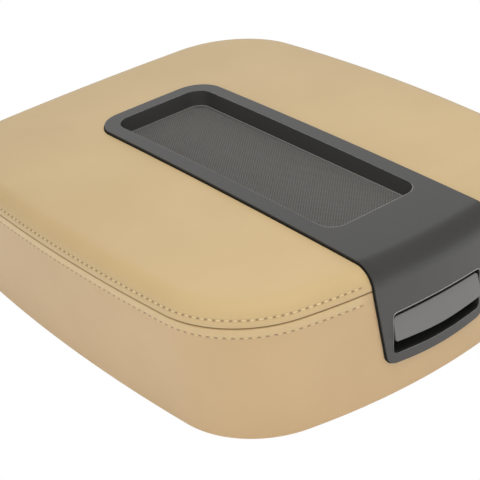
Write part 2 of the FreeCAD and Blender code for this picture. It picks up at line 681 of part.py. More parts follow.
bezel_screws = screws("bezel_screws", BEZEL_SCREWS, TUB_FLOOR - d.shell_wall, d.shell_wall + d.boss_height)
liner_screws = screws("liner_screws", LINER_SCREWS, LEAF_TOP, d.liner_thickness + d.screw_bite * 0.9)
hinge_screws = screws("hinge_screws", HINGE_SCREWS, LEAF_TOP - d.leaf_thickness,
                      d.leaf_thickness + d.liner_thickness + d.screw_bite * 0.9)

bump_stops = new_body("bump_stops")
pad(bump_stops, circles(bump_stops, "stop_heads", "XY_Plane", STOPS, d.stop_radius,
                        LEAF_TOP - d.stop_height), d.stop_height)
pad(bump_stops, circles(bump_stops, "stop_stems", "XY_Plane", STOPS, d.stop_stem_radius,
                        LEAF_TOP - d.stop_height / 2), d.stop_height + d.liner_thickness)

# Latch handle: a paddle bowed like the front, two lugs and the lever that works the hook
PADDLE_HALF = d.pocket_half - d.paddle_clearance


def front_y(height):
    """Where the bezel's front face stands at a height, on the middle plane."""
    return d.wall_draft * (1 - height / d.shoulder_height) + FRONT - d.bezel_proud


PADDLE_TOP_Y = front_y(d.paddle_top_z) + d.paddle_recess
PADDLE_LOW_Y = front_y(d.paddle_low_z) - d.paddle_lip
paddle_sweep = new_body("paddle_sweep")
paddle_section = profile(paddle_sweep, "paddle_section", "YZ_Plane", [
    (PADDLE_TOP_Y - FRONT_CENTRE, d.paddle_top_z, d.paddle_thickness / 3),
    (PADDLE_LOW_Y - FRONT_CENTRE, d.paddle_low_z, 0),
    (PADDLE_LOW_Y + d.paddle_thickness - FRONT_CENTRE, d.paddle_low_z, 0),
    (PADDLE_TOP_Y + d.paddle_thickness - FRONT_CENTRE, d.paddle_top_z, d.paddle_thickness / 3),
], 0, FRONT_CENTRE)
paddle_turn = paddle_sweep.newObject("PartDesign::Revolution", "paddle_turn")
paddle_turn.Profile = paddle_section
paddle_turn.ReferenceAxis = (paddle_section, ["V_Axis"])
paddle_turn.setExpression("Angle", f"4 * asin({(PADDLE_HALF / FRONT_RADIUS).text})")
paddle_turn.Midplane = True
paddle_face = prism("paddle_face", "XZ_Plane", [
    (0, d.paddle_low_z, d.paddle_low_radius), (PADDLE_HALF, d.paddle_side_z, d.paddle_low_corner),
    (PADDLE_HALF, d.paddle_top_z + d.paddle_thickness / 3, d.paddle_corner_radius),
    (-PADDLE_HALF, d.paddle_top_z + d.paddle_thickness / 3, d.paddle_corner_radius),
    (-PADDLE_HALF, d.paddle_side_z, d.paddle_low_corner)], 0, 2 * FAR, both=True)
paddle = common("paddle", paddle_sweep, paddle_face)


def paddle_middle(height):
    """The middle of the paddle's thickness at a height, on the middle plane."""
    share = (d.paddle_top_z - height) / (d.paddle_top_z - d.paddle_low_z)
    return PADDLE_TOP_Y + (PADDLE_LOW_Y - PADDLE_TOP_Y) * share + d.paddle_thickness / 2


lever = prism("lever", "YZ_Plane", [
    (paddle_middle(d.hook_z), d.hook_z, 0), (d.lever_tip_y - d.lever_tip_length, d.lever_tip_z, 0),
    (d.lever_tip_y, d.lever_tip_z, d.lever_tip_height / 3),
    (d.lever_tip_y, LEVER_TOP, d.lever_tip_height / 3),
    (paddle_middle(d.pivot_z), d.pivot_z, 0)], 0, 2 * d.lever_half, both=True)
lug_width = d.lug_outer_x - d.lug_inner_x
left_lug = rods("left_lug", "YZ_Plane", [(d.pivot_y, d.pivot_z)], d.lug_radius, -d.lug_outer_x, lug_width)
right_lug = rods("right_lug", "YZ_Plane", [(d.pivot_y, d.pivot_z)], d.lug_radius, d.lug_inner_x, lug_width)
latch_handle = cut("latch_handle", fuse("handle_solid", paddle, lever, left_lug, right_lug), handle_bore)
handle_pin = cross_pin("handle_pin", HANDLE_PIN_HALF, d.pivot_y, d.pivot_z, d.small_pin_radius)

# Latch hook on its pin behind the pocket, with its return spring
NOSE_TOP = d.nose_low_z + d.nose_height
ARM_LOW = ARM_TOP - d.hook_arm_depth
hook_form = prism("hook_form", "YZ_Plane", [
    (d.hook_arm_tip_y, ARM_TOP, d.hook_arm_depth / 4), (d.hook_arm_tip_y, ARM_LOW, d.hook_arm_depth / 4),
    (LEG_FRONT, ARM_LOW - d.hook_arm_depth, d.hook_leg_width / 4), (LEG_FRONT, NOSE_TOP, 0),
    (NOSE_TIP, NOSE_TOP - d.nose_height / 4, 0), (NOSE_TIP + d.nose_height / 2, d.nose_low_z, 0),
    (LEG_REAR - d.hook_leg_width / 4, d.nose_low_z, 0), (LEG_REAR, ARM_TOP, d.hook_leg_width / 4),
], 0, 2 * d.hook_half, both=True)
latch_hook = cut("latch_hook", hook_form, hook_bore)
hook_pin = cross_pin("hook_pin", EAR_OUT, d.hook_y, d.hook_z, d.small_pin_radius)


def latch_spring_body():
    """A torsion spring round the hook's pin: a coil and two straight legs."""
    body = new_body("latch_spring")
    coil_radius = d.small_pin_radius + d.spring_clearance + d.spring_wire / 2
    first_x = d.hook_half + d.spring_wire / 2 + d.layer_gap
    last_x = first_x + d.spring_pitch * d.spring_turns
    coil_end = circles(body, "coil_end", "XZ_Plane", [(last_x, coil_radius)], d.spring_wire / 2)
    coil_start = circles(body, "coil_start", "XZ_Plane", [(first_x, coil_radius)], d.spring_wire / 2)
    coil = body.newObject("PartDesign::AdditiveHelix", "coil")
    coil.Profile = coil_start
    coil.ReferenceAxis = (coil_start, ["H_Axis"])
    coil.Mode = "pitch-turns-angle"
    bind(coil, "Pitch", d.spring_pitch)
    bind(coil, "Turns", d.spring_turns)
    pad(body, coil_start, d.spring_leg).Reversed = True
    pad(body, coil_end, d.spring_leg)
    return body


latch_spring = latch_spring_body()

# Hinge: two leaves with rolled knuckles, the pin and its clips
KNUCKLES = 5
KNUCKLE_PITCH = d.knuckle_length + d.knuckle_gap
HINGE_HALF = (KNUCKLES * d.knuckle_length + (KNUCKLES - 1) * d.knuckle_gap) / 2
KNUCKLE_RADIUS = LEAF_TOP / 2
LEAF_EDGE = d.hinge_axis_y - KNUCKLE_RADIUS - d.leaf_clearance
hinge_bore = cross_pin("hinge_bore", HINGE_HALF + d.over, d.hinge_axis_y, KNUCKLE_RADIUS,
                       d.hinge_pin_radius + d.pin_clearance)


def hinge_leaf(name, low_z, numbers, holes):
    """A flat leaf with a tab and a knuckle at each of its places along the pin."""
    top_z = low_z + d.leaf_thickness
    pieces = [block(name + "_plate", d.leaf_half, d.leaf_front_y, LEAF_EDGE, low_z, top_z)]
    for number in numbers:
        start = number * KNUCKLE_PITCH - HINGE_HALF
        end = start + d.knuckle_length
        tab = [(start, LEAF_EDGE - d.leaf_clearance, 0), (end, LEAF_EDGE - d.leaf_clearance, 0),
               (end, d.hinge_axis_y, 0), (start, d.hinge_axis_y, 0)]
        pieces.append(prism(f"{name}_tab_{number}", "XY_Plane", tab, low_z, d.leaf_thickness))
        pieces.append(rods(f"{name}_knuckle_{number}", "YZ_Plane", [(d.hinge_axis_y, KNUCKLE_RADIUS)],
                           KNUCKLE_RADIUS, start, d.knuckle_length))
    return cut(name, fuse(name + "_solid", *pieces), hinge_bore, holes)


BOLTS = [(x, y) for x in (-d.bolt_spacing_x / 2, d.bolt_spacing_x / 2)
         for y in (d.bolt_y - d.bolt_spacing_y / 2, d.bolt_y + d.bolt_spacing_y / 2)]
bolt_holes = rods("bolt_holes", "XY_Plane", BOLTS, d.bolt_hole_radius, BELOW, d.over + LEAF_TOP)
hinge_base_plate = hinge_leaf("hinge_base_plate", sized(0), range(0, KNUCKLES, 2), bolt_holes)
hinge_lid_plate = hinge_leaf("hinge_lid_plate", d.leaf_thickness + d.leaf_gap, range(1, KNUCKLES, 2),
                             shell_pilots)
hinge_pin = cross_pin("hinge_pin", HINGE_HALF + d.pin_overhang, d.hinge_axis_y, KNUCKLE_RADIUS,
                      d.hinge_pin_radius)
clip_discs = [rods(f"clip_disc_{i}", "YZ_Plane", [(d.hinge_axis_y, KNUCKLE_RADIUS)], d.clip_radius, start,
                   d.clip_thickness)
              for i, start in enumerate((HINGE_HALF + d.knuckle_gap,
                                         -HINGE_HALF - d.knuckle_gap - d.clip_thickness))]
hinge_pin_clips = cut("hinge_pin_clips", fuse("clip_pair", *clip_discs), hinge_bore)

NODES = [
    leather_top_panel, leather_side_band, foam_pad, lid_shell, tray_bezel, tray_mat, bezel_screws,
    inner_liner, liner_screws, bump_stops, latch_handle, handle_pin, latch_hook, hook_pin, latch_spring,
    hinge_base_plate, hinge_lid_plate, hinge_pin, hinge_pin_clips, hinge_screws,
]


def place(node):
    """Shift a piece from the middle of the lid to the frame's origin at the hinge bolts."""
    shift = -d.bolt_y
    if node is latch_spring:
        shift = shift + d.hook_y
        bind(node, "Placement.Base.z", d.hook_z)
    bind(node, "Placement.Base.y", shift)


def check_document():
    """Stop if anything failed to build."""
    for thing in doc.Objects:
        if {"Invalid", "Error"} & set(thing.State):
            raise RuntimeError(f"{thing.Name} failed: {thing.State}")
    for node in NODES:
        if node.Shape.isNull() or not node.Shape.isValid() or not node.Shape.Solids:
            raise RuntimeError(f"{node.Name} has no valid shape")


for node in NODES:
    place(node)
doc.recompute()
check_document()
os.makedirs("parts", exist_ok=True)
for node in NODES:
    node.Label = node.Name
    node.Shape.exportStep(f"parts/{node.Label}.step")
    print(f"{node.Label}: {len(node.Shape.Solids)} solids, {node.Shape.Volume / 1000:.1f} cm3")
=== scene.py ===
"""Dresses the padded center console lid: leather, stitching, tray, latch and studio.

Shapes are worked out in millimetres about the middle of the lid, +X to the right,
+Y to the rear and +Z up, and become metres in the row frame when a piece is made.
"""
import logging
import math
from abc import ABC, abstractmethod
from dataclasses import dataclass, field
from enum import Enum
from typing import Sequence

import bmesh
import bpy
import numpy as np
from mathutils import Matrix, Vector


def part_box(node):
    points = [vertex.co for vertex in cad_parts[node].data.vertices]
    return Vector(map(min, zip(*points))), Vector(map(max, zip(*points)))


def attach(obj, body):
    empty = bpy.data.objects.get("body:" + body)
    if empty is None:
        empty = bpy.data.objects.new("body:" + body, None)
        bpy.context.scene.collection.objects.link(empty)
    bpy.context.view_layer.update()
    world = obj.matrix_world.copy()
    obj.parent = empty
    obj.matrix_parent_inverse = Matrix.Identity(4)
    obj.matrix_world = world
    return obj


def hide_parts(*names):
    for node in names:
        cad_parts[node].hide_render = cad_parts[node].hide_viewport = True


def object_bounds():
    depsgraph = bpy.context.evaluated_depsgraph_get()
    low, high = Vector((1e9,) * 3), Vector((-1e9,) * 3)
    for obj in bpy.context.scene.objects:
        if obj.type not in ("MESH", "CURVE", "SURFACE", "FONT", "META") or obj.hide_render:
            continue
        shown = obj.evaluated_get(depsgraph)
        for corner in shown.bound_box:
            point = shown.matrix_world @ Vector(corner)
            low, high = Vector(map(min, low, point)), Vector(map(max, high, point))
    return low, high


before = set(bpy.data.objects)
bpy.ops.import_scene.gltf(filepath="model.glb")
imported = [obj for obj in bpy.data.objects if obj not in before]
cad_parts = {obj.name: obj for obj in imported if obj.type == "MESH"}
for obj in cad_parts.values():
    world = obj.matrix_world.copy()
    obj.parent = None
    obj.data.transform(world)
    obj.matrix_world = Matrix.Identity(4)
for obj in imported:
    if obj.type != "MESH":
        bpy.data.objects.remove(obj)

log = logging.getLogger("console_lid")

MM = 0.001
CAD_LOW, CAD_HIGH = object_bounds()
LINER_LOW, LINER_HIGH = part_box("inner_liner")
LID_MIDDLE = np.array([0.0, (LINER_LOW.y + LINER_HIGH.y) / 2, 0.0])
# MERGE is in metres. SLACK, LEVEL and MAT_GROOVES are in millimetres.
MERGE = 5e-6
SLACK = 1e-9
UP = Vector((0.0, 0.0, 1.0))
FORWARD = Vector((0.0, -1.0, 0.0))
LEVEL = 1e-6
WHITE = (1.0, 1.0, 1.0, 1.0)
MAT_GROOVES = 93.5


class Body(Enum):
    """Bodies of the frame that pieces ride on."""

    LID = "lid"
    HANDLE = "handle"


class Slot(Enum):
    """Material slots of the record."""

    LEATHER = "tan_leather"
    BEZEL = "bezel_plastic"
    MAT = "mat_rubber"
    HANDLE = "handle_plastic"


class Axis(Enum):
    """Ways that a prism can run."""

    X = 0
    Y = 1
    Z = 2


def bell(off: float, half: float) -> float:
    """Ease from 1 at the middle to nothing at a few times the half width."""
    return math.exp(-((off / half) ** 2))


def smooth_step(low: float, high: float, value: np.ndarray) -> np.ndarray:
    """Ease from 0 at low to 1 at high.

    Args:
        low: Where the ramp starts.
        high: Where the ramp ends.
        value: Places to evaluate.

    Returns:
        The eased share at each place.
    """
    share = np.clip((value - low) / (high - low), 0.0, 1.0)
    return share * share * (3.0 - 2.0 * share)


@dataclass(frozen=True)
class Section:
    """The rounded top edge of the cushion at places round its outline.

    Attributes:
        roll_in: Distance of the round's centre in from the outline.
        roll_z: Height of the round's centre.
        wall_angle: Angle where the round leaves the wall.
        crown_angle: Angle where the round meets the crown.
        seam_angle: Angle of the sewn seam.
    """

    roll_in: np.ndarray
    roll_z: np.ndarray
    wall_angle: float
    crown_angle: np.ndarray
    seam_angle: np.ndarray


@dataclass(frozen=True)
class CushionForm:
    """Outer form of the padded lid, in millimetres.

    Attributes:
        width: Width between the middles of the sides.
        length: Length between the middles of the ends.
        front_bow: How far the front bows out.
        side_bow: How far each side bows out.
        rear_bow: How far the rear bows out.
        corner_radius: Radius of the corners in plan.
        draft: How far the walls lean out up to the shoulder.
        shoulder: Height at which the outline has its full size.
        top: Height of the crown's middle.
        crown_radius: Radius of the crowned top.
        edge_radius: Radius of the rounded top edge.
        seam_height: Height of the sewn seam.
    """

    width: float = 320.0
    length: float = 390.0
    front_bow: float = 31.5
    side_bow: float = 12.4
    rear_bow: float = 3.6
    corner_radius: float = 72.5
    draft: float = 5.3
    shoulder: float = 82.8
    top: float = 103.6
    crown_radius: float = 7300.0
    edge_radius: float = 13.2
    seam_height: float = 86.4

    @staticmethod
    def bow_radius(chord: float, bow: float) -> float:
        """Radius of an arc with this chord and rise."""
        return (chord * chord / 4 + bow * bow) / (2 * bow)

    @staticmethod
    def heading(centre: np.ndarray, point: np.ndarray) -> float:
        """Direction of a point as seen from a centre."""
        return math.atan2(point[1] - centre[1], point[0] - centre[0])

    @property
    def front_radius(self) -> float:
        """Radius of the bowed front."""
        return self.bow_radius(self.width, self.front_bow)

    @property
    def front_centre(self) -> float:
        """Where the front's arc has its centre, along Y."""
        return self.front_radius - self.length / 2

    @property
    def lean(self) -> float:
        """Angle by which the walls lean out."""
        return math.atan(self.draft / self.shoulder)

    def arcs(self) -> list[tuple[np.ndarray, float, float, float]]:
        """List the arcs of the plan outline.

        Returns:
            Centre, radius, first and last angle of each arc, counterclockwise from the
            middle of the front.
        """
        side = self.bow_radius(self.length, self.side_bow)
        rear = self.bow_radius(self.width, self.rear_bow)
        sides = [
            (np.array([0.0, self.front_centre]), self.front_radius),
            (np.array([self.width / 2 - side, 0.0]), side),
            (np.array([0.0, self.length / 2 - rear]), rear),
            (np.array([side - self.width / 2, 0.0]), side),
        ]
        towards = [(1, -1), (1, 1), (-1, 1), (-1, -1)]
        bends = []
        for i in range(4):
            (one, one_radius), (two, two_radius) = sides[i], sides[(i + 1) % 4]
            reach, other = one_radius - self.corner_radius, two_radius - self.corner_radius
            gap = two - one
            apart = float(np.hypot(*gap))
            along = (reach ** 2 - other ** 2 + apart ** 2) / (2 * apart)
            across = math.sqrt(reach ** 2 - along ** 2)
            foot = one + gap * (along / apart)
            turn = np.array([-gap[1], gap[0]]) * (across / apart)
            bends.append(max((foot + turn, foot - turn), key=lambda p, t=towards[i]: float(p @ t)))

        found = []
        for i in range(4):
            centre, radius = sides[i]
            after = sides[(i + 1) % 4][0]
            first, last = (self.heading(centre, bend) for bend in (bends[i - 1], bends[i]))
            found.append((centre, radius, first, last))
            found.append((bends[i], self.corner_radius, last, self.heading(after, bends[i])))
        middle = -math.pi / 2
        front = found[0]
        found[0] = (front[0], front[1], middle, front[3])
        found.append((front[0], front[1], front[2], middle))
        return [(c, r, a, b if b > a else b + 2 * math.pi) for c, r, a, b in found]

    def perimeter(self) -> float:
        """Length of the plan outline."""
        return sum(radius * (last - first) for _, radius, first, last in self.arcs())

    def sample(self, along: np.ndarray) -> tuple[np.ndarray, np.ndarray]:
        """Find points of the plan outline.

        Args:
            along: Distances along the outline from the middle of the front.

        Returns:
            The points and the outward directions, as rows of x and y.
        """
        points = np.zeros((len(along), 2))
        normals = np.zeros((len(along), 2))
        start = 0.0
        for centre, radius, first, last in self.arcs():
            end = start + radius * (last - first)
            here = (along >= start - SLACK) & (along <= end + SLACK)
            angles = first + (along[here] - start) / radius
            normals[here] = np.column_stack([np.cos(angles), np.sin(angles)])
            points[here] = centre + radius * normals[here]
            start = end
        return points, normals

    def crown_z(self, x: np.ndarray, y: np.ndarray) -> np.ndarray:
        """Height of the crowned top at plan points."""
        return self.top - self.crown_radius + np.sqrt(self.crown_radius ** 2 - x * x - y * y)

    def on_crown(self, x: np.ndarray, y: np.ndarray, offset: float = 0.0) -> np.ndarray:
        """Place points on the crowned top, or a distance off it.

        Args:
            x: Across the lid.
            y: Along the lid.
            offset: Distance outwards.

        Returns:
            Rows of x, y and z.
        """
        base = np.column_stack([x, y, self.crown_z(x, y)])
        centre = np.array([0.0, 0.0, self.top - self.crown_radius])
        return base + (base - centre) * (offset / self.crown_radius)

    def section(self, points: np.ndarray, normals: np.ndarray) -> Section:
        """Work out the rounded top edge at outline points.

        Args:
            points: Outline points.
            normals: Outward directions there.

        Returns:
            The round's centre and angles at each point.
        """
        under = np.sqrt(self.crown_radius ** 2 - (points ** 2).sum(axis=1))
        edge_z = self.top - self.crown_radius + under
        slope = (points * normals).sum(axis=1) / under
        share = self.draft / self.shoulder
        radius = self.edge_radius
        reach = self.draft + share * radius * math.sin(self.lean) + radius * math.cos(self.lean)
        roll_z = (edge_z - radius * np.sqrt(1 + slope ** 2) + slope * reach) / (1 + slope * share)
        seam = np.pi - np.arcsin((self.seam_height - roll_z) / radius)
        return Section(reach - share * roll_z, roll_z, math.pi + self.lean,
                       np.pi / 2 + np.arctan(slope), seam)

    def place(self, points: np.ndarray, normals: np.ndarray,
              reach: np.ndarray | float) -> tuple[np.ndarray, np.ndarray]:
        """Find surface points at a distance from the seam, up over the edge or down the wall.

        Args:
            points: Outline points.
            normals: Outward directions there.
            reach: Distance from the seam, positive towards the crown.

        Returns:
            Surface points and surface normals.
        """
        cut = self.section(points, normals)
        radius = self.edge_radius
        reach = np.broadcast_to(np.asarray(reach, dtype=float), (len(points),))
        angle = np.clip(cut.seam_angle - reach / radius, cut.crown_angle, cut.wall_angle)
        into = cut.roll_in + radius * np.cos(angle)
        height = cut.roll_z + radius * np.sin(angle)
        past_crown = reach - (cut.seam_angle - cut.crown_angle) * radius
        past_wall = (cut.seam_angle - cut.wall_angle) * radius - reach
        into = np.where(past_crown > 0, into + past_crown, into)
        low = height - past_wall * math.cos(self.lean)
        height = np.where(past_wall > 0, low, height)
        into = np.where(past_wall > 0, self.draft * (1 - height / self.shoulder), into)
        plan = points - normals * into[:, None]
        height = np.where(past_crown > 0, self.crown_z(plan[:, 0], plan[:, 1]), height)
        facing = np.column_stack([-normals * np.cos(angle)[:, None], np.sin(angle)])
        return np.column_stack([plan, height]), facing

    def floor_reach(self, points: np.ndarray, normals: np.ndarray) -> np.ndarray:
        """Distance from the seam at which the wall comes down to the rim.

        Args:
            points: Points of the outline.
            normals: Their outward normals.

        Returns:
            The distance at each point.
        """
        cut = self.section(points, normals)
        low = cut.roll_z + self.edge_radius * math.sin(cut.wall_angle)
        return (cut.seam_angle - cut.wall_angle) * self.edge_radius - low / math.cos(self.lean)

    def front_section(self, x: np.ndarray) -> Section:
        """The rounded top edge at places across the bowed front.

        Args:
            x: Places across the lid.

        Returns:
            The section at each place.
        """
        turn = np.arcsin(x / self.front_radius)
        normals = np.column_stack([np.sin(turn), -np.cos(turn)])
        return self.section(np.array([0.0, self.front_centre]) + self.front_radius * normals, normals)

    def front(self, x: np.ndarray, down: np.ndarray, offset: float) -> np.ndarray:
        """Place points on the way from the crown over the front edge and down the front wall.

        Args:
            x: Across the lid.
            down: Distance along the surface past the crown's edge, negative on the crown.
            offset: Distance outwards.

        Returns:
            Rows of x, y and z.
        """
        cut = self.front_section(x)
        radius = self.edge_radius
        angle = np.clip(cut.crown_angle + down / radius, cut.crown_angle, cut.wall_angle)
        into = cut.roll_in + radius * np.cos(angle)
        height = cut.roll_z + radius * np.sin(angle)
        past_wall = down - (cut.wall_angle - cut.crown_angle) * radius
        height = np.where(past_wall > 0, height - past_wall * math.cos(self.lean), height)
        into = np.where(past_wall > 0, self.draft * (1 - height / self.shoulder), into)
        turned = self.front_radius - into - offset * np.cos(angle)
        edge = np.column_stack([x, self.front_centre - np.sqrt(turned ** 2 - x * x),
                                height + offset * np.sin(angle)])
        return np.where((down <= 0)[:, None], self.on_crown(x, self.deck_y(x, down), offset), edge)

    def deck_y(self, x: np.ndarray, down: np.ndarray | float) -> np.ndarray:
        """Where a line that follows the crown's front edge lies along Y.

        Args:
            x: Places across the lid.
            down: Distance past the crown's edge, negative on the crown.

        Returns:
            The place along Y for each x.
        """
        cut = self.front_section(x)
        into = cut.roll_in + self.edge_radius * np.cos(cut.crown_angle) - down
        return self.front_centre - np.sqrt((self.front_radius - into) ** 2 - x * x)

    def apron_down(self, height: float) -> float:
        """Distance past the crown's edge at which the front wall has this height.

        Args:
            height: Height on the front wall.

        Returns:
            The distance on the middle plane.
        """
        cut = self.front_section(np.zeros(1))
        low = cut.roll_z[0] + self.edge_radius * math.sin(cut.wall_angle)
        rolled = (cut.wall_angle - cut.crown_angle[0]) * self.edge_radius
        return float(rolled + (low - height) / math.cos(self.lean))


FORM = CushionForm()


@dataclass(frozen=True)
class Corner:
    """One corner of a closed outline.

    Attributes:
        x: Place across.
        y: Place along.
        radius: Radius of its round, or 0 for a sharp corner.
        reach: For a sharp corner, how far its points spread along both sides.
        steps: Points of the corner.
        side: Points of the straight side that follows.
    """

    x: float
    y: float
    radius: float = 0.0
    reach: float = 1.0
    steps: int = 8
    side: int = 8

    def ends(self, before: "Corner", after: "Corner") -> tuple[np.ndarray, np.ndarray, np.ndarray]:
        """Find where the corner starts and ends.

        Args:
            before: The corner before this one.
            after: The corner after this one.

        Returns:
            The tip, the start on the incoming side and the end on the outgoing side.
        """
        tip = np.array([self.x, self.y])
        back = np.array([before.x, before.y]) - tip
        ahead = np.array([after.x, after.y]) - tip
        back /= np.hypot(*back)
        ahead /= np.hypot(*ahead)
        half = math.acos(float(np.clip(back @ ahead, -1, 1))) / 2
        reach = self.radius / math.tan(half) if self.radius else self.reach
        return tip, tip + back * reach, tip + ahead * reach


def outline(corners: Sequence[Corner]) -> np.ndarray:
    """Sample a closed outline with rounded corners.

    Args:
        corners: The corners in order.

    Returns:
        Rows of x and y; outlines with the same steps and sides match point by point.
    """
    count = len(corners)
    ends = [corners[i].ends(corners[i - 1], corners[(i + 1) % count]) for i in range(count)]
    points = []
    for i, corner in enumerate(corners):
        tip, start, end = ends[i]
        for share in np.arange(corner.steps) / corner.steps:
            if corner.radius:
                points.append(arc_point(tip, start, end, share))
            elif share < 0.5:
                points.append(start + (tip - start) * 2 * share)
            else:
                points.append(tip + (end - tip) * (2 * share - 1))
        following = ends[(i + 1) % count][1]
        points += [end + (following - end) * share for share in np.arange(corner.side) / corner.side]
    return np.array(points)


def matched(places: Sequence[tuple[float, ...]], steps: Sequence[int],
            sides: Sequence[int]) -> np.ndarray:
    """Sample a closed outline from rows of x, y, radius and, for a sharp corner, reach.

    Args:
        places: One row for each corner.
        steps: Points of each corner.
        sides: Points of the side after each corner.

    Returns:
        Rows of x and y.
    """
    rows = zip(places, steps, sides)
    return outline([Corner(*place, steps=step, side=side) for place, step, side in rows])


def arc_point(tip: np.ndarray, start: np.ndarray, end: np.ndarray, share: float) -> np.ndarray:
    """Find a point on the arc that rounds a corner.

    Args:
        tip: The sharp corner.
        start: Where the arc starts.
        end: Where the arc ends.
        share: How far round the arc, from 0 to 1.

    Returns:
        The point.
    """
    middle = (start + end) / 2
    bisector = middle - tip
    depth = float(np.hypot(*bisector))
    half_chord = float(np.hypot(*(end - start))) / 2
    centre = middle + bisector / depth * (half_chord * half_chord / depth)
    one, two = start - centre, end - centre
    sweep = math.acos(float(np.clip(one @ two / (np.hypot(*one) * np.hypot(*two)), -1, 1)))
    if sweep < 1e-6:
        return start + (end - start) * share
    return centre + (one * math.sin((1 - share) * sweep) + two * math.sin(share * sweep)) / math.sin(sweep)


@dataclass
class MeshDraft:
    """A piece that is being drawn.

    Attributes:
        vertices: Its points in millimetres.
        faces: Its faces.
        layers: Shares of its points by name, for the finish.
    """

    vertices: list[tuple[float, float, float]] = field(default_factory=list)
    faces: list[tuple[int, ...]] = field(default_factory=list)
    layers: dict[str, dict[int, float]] = field(default_factory=dict)

    def ring(self, points: np.ndarray) -> list[int]:
        """Add points and return their numbers.

        Args:
            points: Rows of x, y and z.

        Returns:
            Their numbers.
        """
        first = len(self.vertices)
        self.vertices += [tuple(point) for point in points]
        return list(range(first, len(self.vertices)))

    def mark(self, layer: str, ring: Sequence[int], shares: np.ndarray) -> None:
        """Note a share for each vertex of a ring, in a named layer."""
        self.layers.setdefault(layer, {}).update(zip(ring, shares.tolist()))

    def strip(self, one: Sequence[int], two: Sequence[int]) -> None:
        """Join two closed rings of equal length with quads."""
        count = len(one)
        self.faces += [(one[i], one[(i + 1) % count], two[(i + 1) % count], two[i]) for i in range(count)]

    def loft(self, rings: Sequence[np.ndarray]) -> list[list[int]]:
        """Add rings and join each one to the next.

        Args:
            rings: Point rows of equal length.

        Returns:
            The numbers of every ring.
        """
        numbers = [self.ring(points) for points in rings]
        for one, two in zip(numbers, numbers[1:]):
            self.strip(one, two)
        return numbers

    def cap(self, ring: Sequence[int], flip: bool = False) -> None:
        """Close a ring with one face."""
        self.faces.append(tuple(reversed(ring)) if flip else tuple(ring))

    def prism(self, section: np.ndarray, axis: Axis, low: float, high: float) -> None:
        """Add a closed prism.

        Args:
            section: Rows of the two coordinates across the axis.
            axis: The way that the prism runs.
            low: Its first end along the axis.
            high: Its other end.
        """
        first, last = self.loft([np.insert(section, axis.value, end, axis=1) for end in (low, high)])
        self.cap(first, flip=axis is not Axis.Y)
        self.cap(last, flip=axis is Axis.Y)

    def build(self, name: str) -> bpy.types.Object:
        """Make the object in the row frame.

        Args:
            name: Name of the piece.

        Returns:
            The linked object at the origin.
        """
        mesh = bpy.data.meshes.new(name)
        places = np.array(self.vertices) * MM + LID_MIDDLE
        mesh.from_pydata(places.tolist(), [], self.faces)
        for label, shares in self.layers.items():
            layer = mesh.attributes.new(label, "FLOAT", "POINT")
            layer.data.foreach_set("value", [shares.get(i, 0.0) for i in range(len(places))])
        work = bmesh.new()
        work.from_mesh(mesh)
        bmesh.ops.remove_doubles(work, verts=work.verts, dist=MERGE)
        bmesh.ops.recalc_face_normals(work, faces=work.faces)
        work.to_mesh(mesh)
        work.free()
        piece = bpy.data.objects.new(name, mesh)
        bpy.context.scene.collection.objects.link(piece)
        return piece


def freeze(piece: bpy.types.Object) -> None:
    """Turn the piece with its modifiers into a plain mesh.

    Args:
        piece: The piece.
    """
    graph = bpy.context.evaluated_depsgraph_get()
    old = piece.data
    piece.data = bpy.data.meshes.new_from_object(piece.evaluated_get(graph))
    piece.data.name = piece.name
    piece.modifiers.clear()
    bpy.data.meshes.remove(old)


def carve(piece: bpy.types.Object, *tools: bpy.types.Object) -> None:
    """Cut tools out of a piece and remove them.

    Args:
        piece: The closed piece.
        *tools: Closed forms to take away.
    """
    for tool in tools:
        modifier = piece.modifiers.new(tool.name, "BOOLEAN")
        modifier.operation = "DIFFERENCE"
        modifier.solver = "MANIFOLD"
        modifier.object = tool
    freeze(piece)
    for tool in tools:
        bpy.data.objects.remove(tool)


def soften(piece: bpy.types.Object, angle: float = 35.0) -> None:
    """Shade smooth, with edges sharp past an angle in degrees."""
    piece.data.shade_smooth()
    piece.data.set_sharp_from_angle(angle=math.radians(angle))


def thicken(piece: bpy.types.Object, facing: Vector, wall: float, even: bool = True) -> None:
    """Turn a sheet's faces one way and give it a wall behind them.

    Args:
        piece: The sheet.
        facing: The way that its faces look.
        wall: Thickness in millimetres.
        even: Whether the wall keeps its thickness round bends.
    """
    if sum(face.normal.dot(facing) * face.area for face in piece.data.polygons) < 0:
        piece.data.flip_normals()
    solid = piece.modifiers.new("wall", "SOLIDIFY")
    solid.thickness = wall * MM
    solid.offset = -1.0
    solid.use_even_offset = even


def round_edges(piece: bpy.types.Object, radius: float, angle: float = 40.0) -> None:
    """Round a piece's edges.

    Args:
        piece: The piece.
        radius: Width of the round in millimetres.
        angle: Smallest bend in degrees that counts as an edge.
    """
    bevel = piece.modifiers.new("edges", "BEVEL")
    bevel.width = radius * MM
    bevel.segments = 3
    bevel.limit_method = "ANGLE"
    bevel.angle_limit = math.radians(angle)


def prism(name: str, section: np.ndarray, axis: Axis, low: float, high: float) -> bpy.types.Object:
    """Make a closed prism.

    Args:
        name: Name of the object.
        section: Rows of the two coordinates across the axis.
        axis: The way that the prism runs.
        low: Its first end along the axis.
        high: Its other end.

    Returns:
        The closed form.
    """
    draft = MeshDraft()
    draft.prism(section, axis, low, high)
    return draft.build(name)


